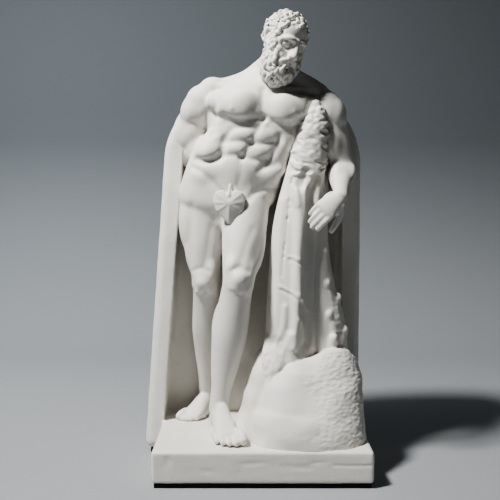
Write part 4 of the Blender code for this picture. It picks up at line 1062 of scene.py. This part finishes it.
def plate(name, outline, front, back, edge):
    """A flat plate with rounded edges, its outline drawn in (x, z)."""
    clay = bmesh.new()
    face = clay.faces.new([clay.verts.new((x, front, z)) for x, z in outline])
    grown = bmesh.ops.extrude_face_region(clay, geom=[face])
    moved = [v for v in grown["geom"] if isinstance(v, bmesh.types.BMVert)]
    bmesh.ops.translate(clay, verts=moved, vec=(0, back - front, 0))
    obj = to_object(clay, name)
    m = obj.modifiers.new("edge", "BEVEL")
    m.width = edge
    m.segments = 6
    m.limit_method = "ANGLE"
    m.angle_limit = math.radians(40)
    settle(obj)
    return obj


def combine(obj, other, operation):
    """Joins the other object to this one, or cuts it out of it."""
    m = obj.modifiers.new("combine", "BOOLEAN")
    m.object = other
    m.operation = operation
    m.solver = "EXACT"
    settle(obj)
    bpy.data.objects.remove(other)


def block(name, x0, x1, y0, y1, z0, z1, edge):
    """A box with rounded edges."""
    bpy.ops.object.select_all(action="DESELECT")
    bpy.ops.mesh.primitive_cube_add(size=1, location=((x0 + x1) / 2, (y0 + y1) / 2, (z0 + z1) / 2))
    obj = bpy.context.active_object
    obj.name = name
    obj.scale = (x1 - x0, y1 - y0, z1 - z0)
    bpy.ops.object.transform_apply(location=True, rotation=True, scale=True)
    bpy.ops.object.modifier_add(type="BEVEL")
    m = obj.modifiers[-1]
    m.width = edge
    m.segments = 5
    bpy.ops.object.modifier_apply(modifier=m.name)
    return obj


# Faint lines of the slab and the plinth: (x, z) path, breadth and depth
SEAM_LEVEL = 62.6
FAINT_LINES = (
    (((-54, SEAM_LEVEL), (-30, SEAM_LEVEL + 0.4), (-6, SEAM_LEVEL)), 0.7, 0.35),
    (((43.6, -8.4), (56, -8.6), (66.5, -8.4)), 0.8, 0.45),
)
# Air holes and shallow dents of the slab and the plinth: x, z, half width, half height, rise, tilt
PITS = ((-62.3, 54.0, 1.1, 1.1, -0.9, 0), (-61.0, 52.4, 0.8, 0.8, -0.7, 0), (-10.9, 6.1, 1.4, 1.1, -0.9, 0),
        (-8.6, 7.6, 0.9, 0.9, -0.7, 0), (-0.3, 50.6, 1.0, 1.0, -0.8, 0), (-44.0, 71.0, 0.9, 0.9, -0.6, 0))
DENTS = ((-6.0, -7.2, 13, 2.2, -0.35, 3), (20.0, -9.4, 16, 3.0, -0.35, -2), (33.0, -6.8, 9, 1.6, -0.3, 4),
         (-34.0, -12.0, 7.0, 3.0, -0.3, 0), (-58.0, -6.0, 4.0, 6.0, -0.3, 0))


def base_height(x, y, z):
    """The slight waviness of a plinth finished by hand."""
    return 0.22 * noise.noise(Vector((x, y, z)) * 0.07) + 0.10 * noise.noise(Vector((x, y, z)) * 0.25)


def base(material):
    """The plinth with the slab behind it and the shallow niche in the slab."""
    slab = plate("slab", slab_outline(0, -PLINTH_TALL), SLAB_FRONT, SLAB_BACK, SLAB_EDGE)
    niche_front = SLAB_FRONT - NICHE_CLEAR
    niche = plate("niche", slab_outline(NICHE_RIM, -NICHE_SINK), niche_front, NICHE_BACK, NICHE_EDGE)
    combine(slab, niche, "DIFFERENCE")
    obj = block("plinth_and_slab", -PLINTH_WIDE / 2, PLINTH_WIDE / 2, PLINTH_BACK - PLINTH_DEEP, PLINTH_BACK,
                -PLINTH_TALL, 0, PLINTH_EDGE)
    combine(obj, slab, "UNION")
    run_together(obj, BASE_GRAIN)
    weather(obj, base_height)
    for path, breadth, depth in FAINT_LINES:
        crease(obj, path, breadth, depth)
    for spot in PITS + DENTS:
        swell(obj, spot)
    relax(obj, 1)
    finish_cast(obj, material, BASE_TRIANGLES)


# Materials
PLASTER_TONES = (0.785, 0.768, 0.73), (0.825, 0.81, 0.775)
SPECK_TONES = (0.955, 0.95, 0.935), (1, 1, 1)
PLASTER_TONE, PLASTER_GLOSS = (0.78, 0.765, 0.73), 0.35
PLASTER_ROUGHNESS = 0.50, 0.72
MOTTLE_SCALE, GRAIN_SCALE, FINE_SCALE, PIT_SCALE = 45, 420, 1700, 260
# Depth of the grain on each finish, in metres
SMOOTH_DEPTH, DRAPED_DEPTH, BASE_DEPTH = 0.00012, 0.0002, 0.00016
# The pad's near-black tones are black rubber and also painted shade for the dark gap under the plinth
PAD_AND_SHADE_TONE, PAD_AND_SHADE_TONES = (0.012, 0.012, 0.013), ((0.008, 0.008, 0.009, 1), (0.022, 0.022, 0.024, 1))
PAD_GRAIN_SCALE, PAD_GRAIN_DEPTH = 1400, 0.0002


def new_material(name, colour, roughness):
    """A material, its nodes and links, and its shader."""
    material = bpy.data.materials.new(name)
    material.use_nodes = True
    shader = material.node_tree.nodes["Principled BSDF"]
    shader.inputs["Base Color"].default_value = (*colour, 1)
    shader.inputs["Roughness"].default_value = roughness
    return material, material.node_tree.nodes, material.node_tree.links, shader


def plaster_group():
    """Mottled plaster: its colour, its roughness, and the height of its grain and pinholes."""
    group = bpy.data.node_groups.new("cast_plaster_surface", "ShaderNodeTree")
    group.interface.new_socket("Color", in_out="OUTPUT", socket_type="NodeSocketColor")
    for name in ("Roughness", "Height"):
        group.interface.new_socket(name, in_out="OUTPUT", socket_type="NodeSocketFloat")
    nodes, links = group.nodes, group.links
    out = nodes.new("NodeGroupOutput")
    place = nodes.new("ShaderNodeTexCoord")

    def cloud(scale, detail):
        n = nodes.new("ShaderNodeTexNoise")
        n.inputs["Scale"].default_value = scale
        n.inputs["Detail"].default_value = detail
        links.new(place.outputs["Object"], n.inputs["Vector"])
        return n

    def ramp(source, low, high, first, second):
        n = nodes.new("ShaderNodeValToRGB")
        n.color_ramp.elements[0].position = low
        n.color_ramp.elements[1].position = high
        n.color_ramp.elements[0].color = (*first, 1)
        n.color_ramp.elements[1].color = (*second, 1)
        links.new(source, n.inputs["Fac"])
        return n

    def maths(operation, first, second):
        n = nodes.new("ShaderNodeMath")
        n.operation = operation
        for socket, value in zip(n.inputs, (first, second)):
            if isinstance(value, float):
                socket.default_value = value
            else:
                links.new(value, socket)
        return n.outputs[0]

    broad, grain, fine = cloud(MOTTLE_SCALE, 4), cloud(GRAIN_SCALE, 5), cloud(FINE_SCALE, 3)
    pits = nodes.new("ShaderNodeTexVoronoi")
    pits.inputs["Scale"].default_value = PIT_SCALE
    links.new(place.outputs["Object"], pits.inputs["Vector"])
    tint = ramp(broad.outputs["Fac"], 0.3, 0.72, *PLASTER_TONES)
    speck = ramp(grain.outputs["Fac"], 0.30, 0.42, *SPECK_TONES)
    mixed = nodes.new("ShaderNodeMix")
    mixed.data_type = "RGBA"
    mixed.blend_type = "MULTIPLY"
    mixed.inputs["Factor"].default_value = 1
    links.new(tint.outputs["Color"], mixed.inputs["A"])
    links.new(speck.outputs["Color"], mixed.inputs["B"])
    links.new(mixed.outputs["Result"], out.inputs["Color"])
    rough = nodes.new("ShaderNodeMapRange")
    rough.inputs["To Min"].default_value = PLASTER_ROUGHNESS[0]
    rough.inputs["To Max"].default_value = PLASTER_ROUGHNESS[1]
    links.new(grain.outputs["Fac"], rough.inputs["Value"])
    links.new(rough.outputs["Result"], out.inputs["Roughness"])
    hole = ramp(pits.outputs["Distance"], 0.02, 0.09, (0, 0, 0), (1, 1, 1))
    grains = maths("MULTIPLY", grain.outputs["Fac"], 0.6)
    height = maths("ADD", grains, maths("MULTIPLY", fine.outputs["Fac"], 0.35))
    links.new(maths("ADD", height, maths("MULTIPLY", hole.outputs["Color"], 0.5)), out.inputs["Height"])
    return group


def plaster(name, group, grain_depth):
    """A plaster material with grain as deep as grain_depth, in metres."""
    material, nodes, links, shader = new_material(name, PLASTER_TONE, 0.6)
    shader.inputs["Specular IOR Level"].default_value = PLASTER_GLOSS
    surface = nodes.new("ShaderNodeGroup")
    surface.node_tree = group
    links.new(surface.outputs["Color"], shader.inputs["Base Color"])
    links.new(surface.outputs["Roughness"], shader.inputs["Roughness"])
    bump = nodes.new("ShaderNodeBump")
    bump.inputs["Strength"].default_value = 0.5
    bump.inputs["Distance"].default_value = grain_depth
    links.new(surface.outputs["Height"], bump.inputs["Height"])
    links.new(bump.outputs["Normal"], shader.inputs["Normal"])
    return material


def pad_rubber_and_painted_shade():
    """The pad's matt black rubber, with a fine grain; its near-black tone is also painted shade for the dark
    gap under the plinth.
    """
    material, nodes, links, shader = new_material("black_pad_and_painted_shade", PAD_AND_SHADE_TONE, 0.7)
    place = nodes.new("ShaderNodeTexCoord")
    grain = nodes.new("ShaderNodeTexNoise")
    grain.inputs["Scale"].default_value = PAD_GRAIN_SCALE
    links.new(place.outputs["Object"], grain.inputs["Vector"])
    tint = nodes.new("ShaderNodeValToRGB")
    tint.color_ramp.elements[0].color = PAD_AND_SHADE_TONES[0]
    tint.color_ramp.elements[1].color = PAD_AND_SHADE_TONES[1]
    links.new(grain.outputs["Fac"], tint.inputs["Fac"])
    links.new(tint.outputs["Color"], shader.inputs["Base Color"])
    bump = nodes.new("ShaderNodeBump")
    bump.inputs["Strength"].default_value = 0.4
    bump.inputs["Distance"].default_value = PAD_GRAIN_DEPTH
    links.new(grain.outputs["Fac"], bump.inputs["Height"])
    links.new(bump.outputs["Normal"], shader.inputs["Normal"])
    return material


# Floor, light and camera
# The wall's darker grey is painted shade for the dim backdrop; it fades in from the pale floor with height
FLOOR_TONE, WALL_PAINTED_SHADE_TONE = (0.38, 0.40, 0.42, 1), (0.17, 0.187, 0.203, 1)
SHADE_FADE_HEIGHT = 0.26
# The backdrop, in metres: its half width, the floor's front and back, the sweep's radius, the wall's top
HALF_WIDE, FLOOR_FRONT, FLOOR_BACK, SWEEP, WALL_TOP = 1.6, -1.2, 0.35, 0.3, 1.6
SWEEP_STEPS = 12


def backdrop():
    """A pale floor that curves up into a grey wall; the wall's darker grey, fading in with height, is painted
    shade for the dim backdrop.
    """
    clay = bmesh.new()
    profile = [(FLOOR_FRONT, 0.0), (FLOOR_BACK, 0.0)]
    for k in range(1, SWEEP_STEPS + 1):
        a = math.radians(90 * k / SWEEP_STEPS)
        profile.append((FLOOR_BACK + SWEEP * math.sin(a), SWEEP * (1 - math.cos(a))))
    profile.append((FLOOR_BACK + SWEEP, WALL_TOP))
    rows = [[clay.verts.new((x, y, z)) for y, z in profile] for x in (-HALF_WIDE, HALF_WIDE)]
    for k in range(len(profile) - 1):
        clay.faces.new((rows[0][k], rows[1][k], rows[1][k + 1], rows[0][k + 1]))
    obj = to_object(clay, "pale_floor")
    obj.data.shade_smooth()
    material, nodes, links, shader = new_material("pale_floor", FLOOR_TONE[:3], 0.75)
    place = nodes.new("ShaderNodeTexCoord")
    split = nodes.new("ShaderNodeSeparateXYZ")
    links.new(place.outputs["Object"], split.inputs["Vector"])
    # the ramp paints shade on the backdrop: pale floor below, darker grey wall above
    shade_climb = nodes.new("ShaderNodeMapRange")
    shade_climb.inputs["From Max"].default_value = SHADE_FADE_HEIGHT
    links.new(split.outputs["Z"], shade_climb.inputs["Value"])
    tint = nodes.new("ShaderNodeValToRGB")
    tint.color_ramp.elements[0].color = FLOOR_TONE
    tint.color_ramp.elements[1].color = WALL_PAINTED_SHADE_TONE
    links.new(shade_climb.outputs["Result"], tint.inputs["Fac"])
    links.new(tint.outputs["Color"], shader.inputs["Base Color"])
    obj.data.materials.append(material)


WORLD_TONE, WORLD_STRENGTH = (1.0, 0.96, 0.90, 1), 0.008
# Lights: name, place, target, size, power, colour and beam in degrees
LIGHTS = (
    ("key", (-0.44, -0.31, 0.91), (0, 0, 0.17), 0.15, 6.1, (1.0, 0.98, 0.95), 130),
    ("wall_wash", (-0.45, -0.05, 0.55), (-0.30, 0.65, 0.24), 0.3, 0.9, (0.90, 0.96, 1.0), 110),
    ("floor_wash", (0.60, 0.30, 0.55), (0.30, 0.25, 0.0), 0.5, 0.2, (0.95, 0.98, 1.0), 120),
)


def area_light(name, place, target, size, power, colour, beam):
    """A round soft light at place that faces target."""
    data = bpy.data.lights.new(name, "AREA")
    data.shape = "DISK"
    data.size = size
    data.energy = power
    data.color = colour
    data.spread = math.radians(beam)
    obj = bpy.data.objects.new(name, data)
    bpy.context.scene.collection.objects.link(obj)
    obj.location = place
    obj.rotation_euler = (Vector(target) - Vector(place)).to_track_quat("-Z", "Y").to_euler()


def light():
    """The studio: a faint glow all round, and the soft lights."""
    world = bpy.data.worlds.new("studio")
    bpy.context.scene.world = world
    world.use_nodes = True
    glow = world.node_tree.nodes["Background"]
    glow.inputs["Color"].default_value = WORLD_TONE
    glow.inputs["Strength"].default_value = WORLD_STRENGTH
    for row in LIGHTS:
        area_light(*row)
    bpy.context.scene.view_settings.look = "AgX - High Contrast"


# Fitted to the photograph, taken as 500 by 500
CAMERA_PLACE = (-0.0077, -0.5126, 0.1767)
CAMERA_DOWN = 3.76
CAMERA_LENS, SENSOR_WIDE = 56.55, 36


def camera():
    """The camera at the photograph's viewing angle."""
    data = bpy.data.cameras.new("camera")
    data.sensor_width = SENSOR_WIDE
    data.lens = CAMERA_LENS
    data.clip_start = 0.01
    obj = bpy.data.objects.new("camera", data)
    bpy.context.scene.collection.objects.link(obj)
    obj.location = CAMERA_PLACE
    obj.rotation_euler = (math.radians(90 - CAMERA_DOWN), 0, 0)
    bpy.context.scene.camera = obj


camera()
light()
backdrop()
surface_group = plaster_group()
smooth_plaster = plaster("smooth_plaster", surface_group, SMOOTH_DEPTH)
draped_plaster = plaster("draped_plaster", surface_group, DRAPED_DEPTH)
base_plaster = plaster("base_plaster", surface_group, BASE_DEPTH)

figure_cast = figure()
figure_cast.name = "figure_cast"
finish_cast(figure_cast, smooth_plaster, FIGURE_TRIANGLES)
head_cast = head()
head_cast.name = "head_cast"
finish_cast(head_cast, smooth_plaster, HEAD_TRIANGLES)
support_cast = support()
support_cast.name = "cloth_and_rock_cast"
finish_cast(support_cast, draped_plaster, SUPPORT_TRIANGLES)
base(base_plaster)
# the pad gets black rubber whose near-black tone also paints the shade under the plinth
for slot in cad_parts["base_pad"].material_slots:
    slot.material = pad_rubber_and_painted_shade()
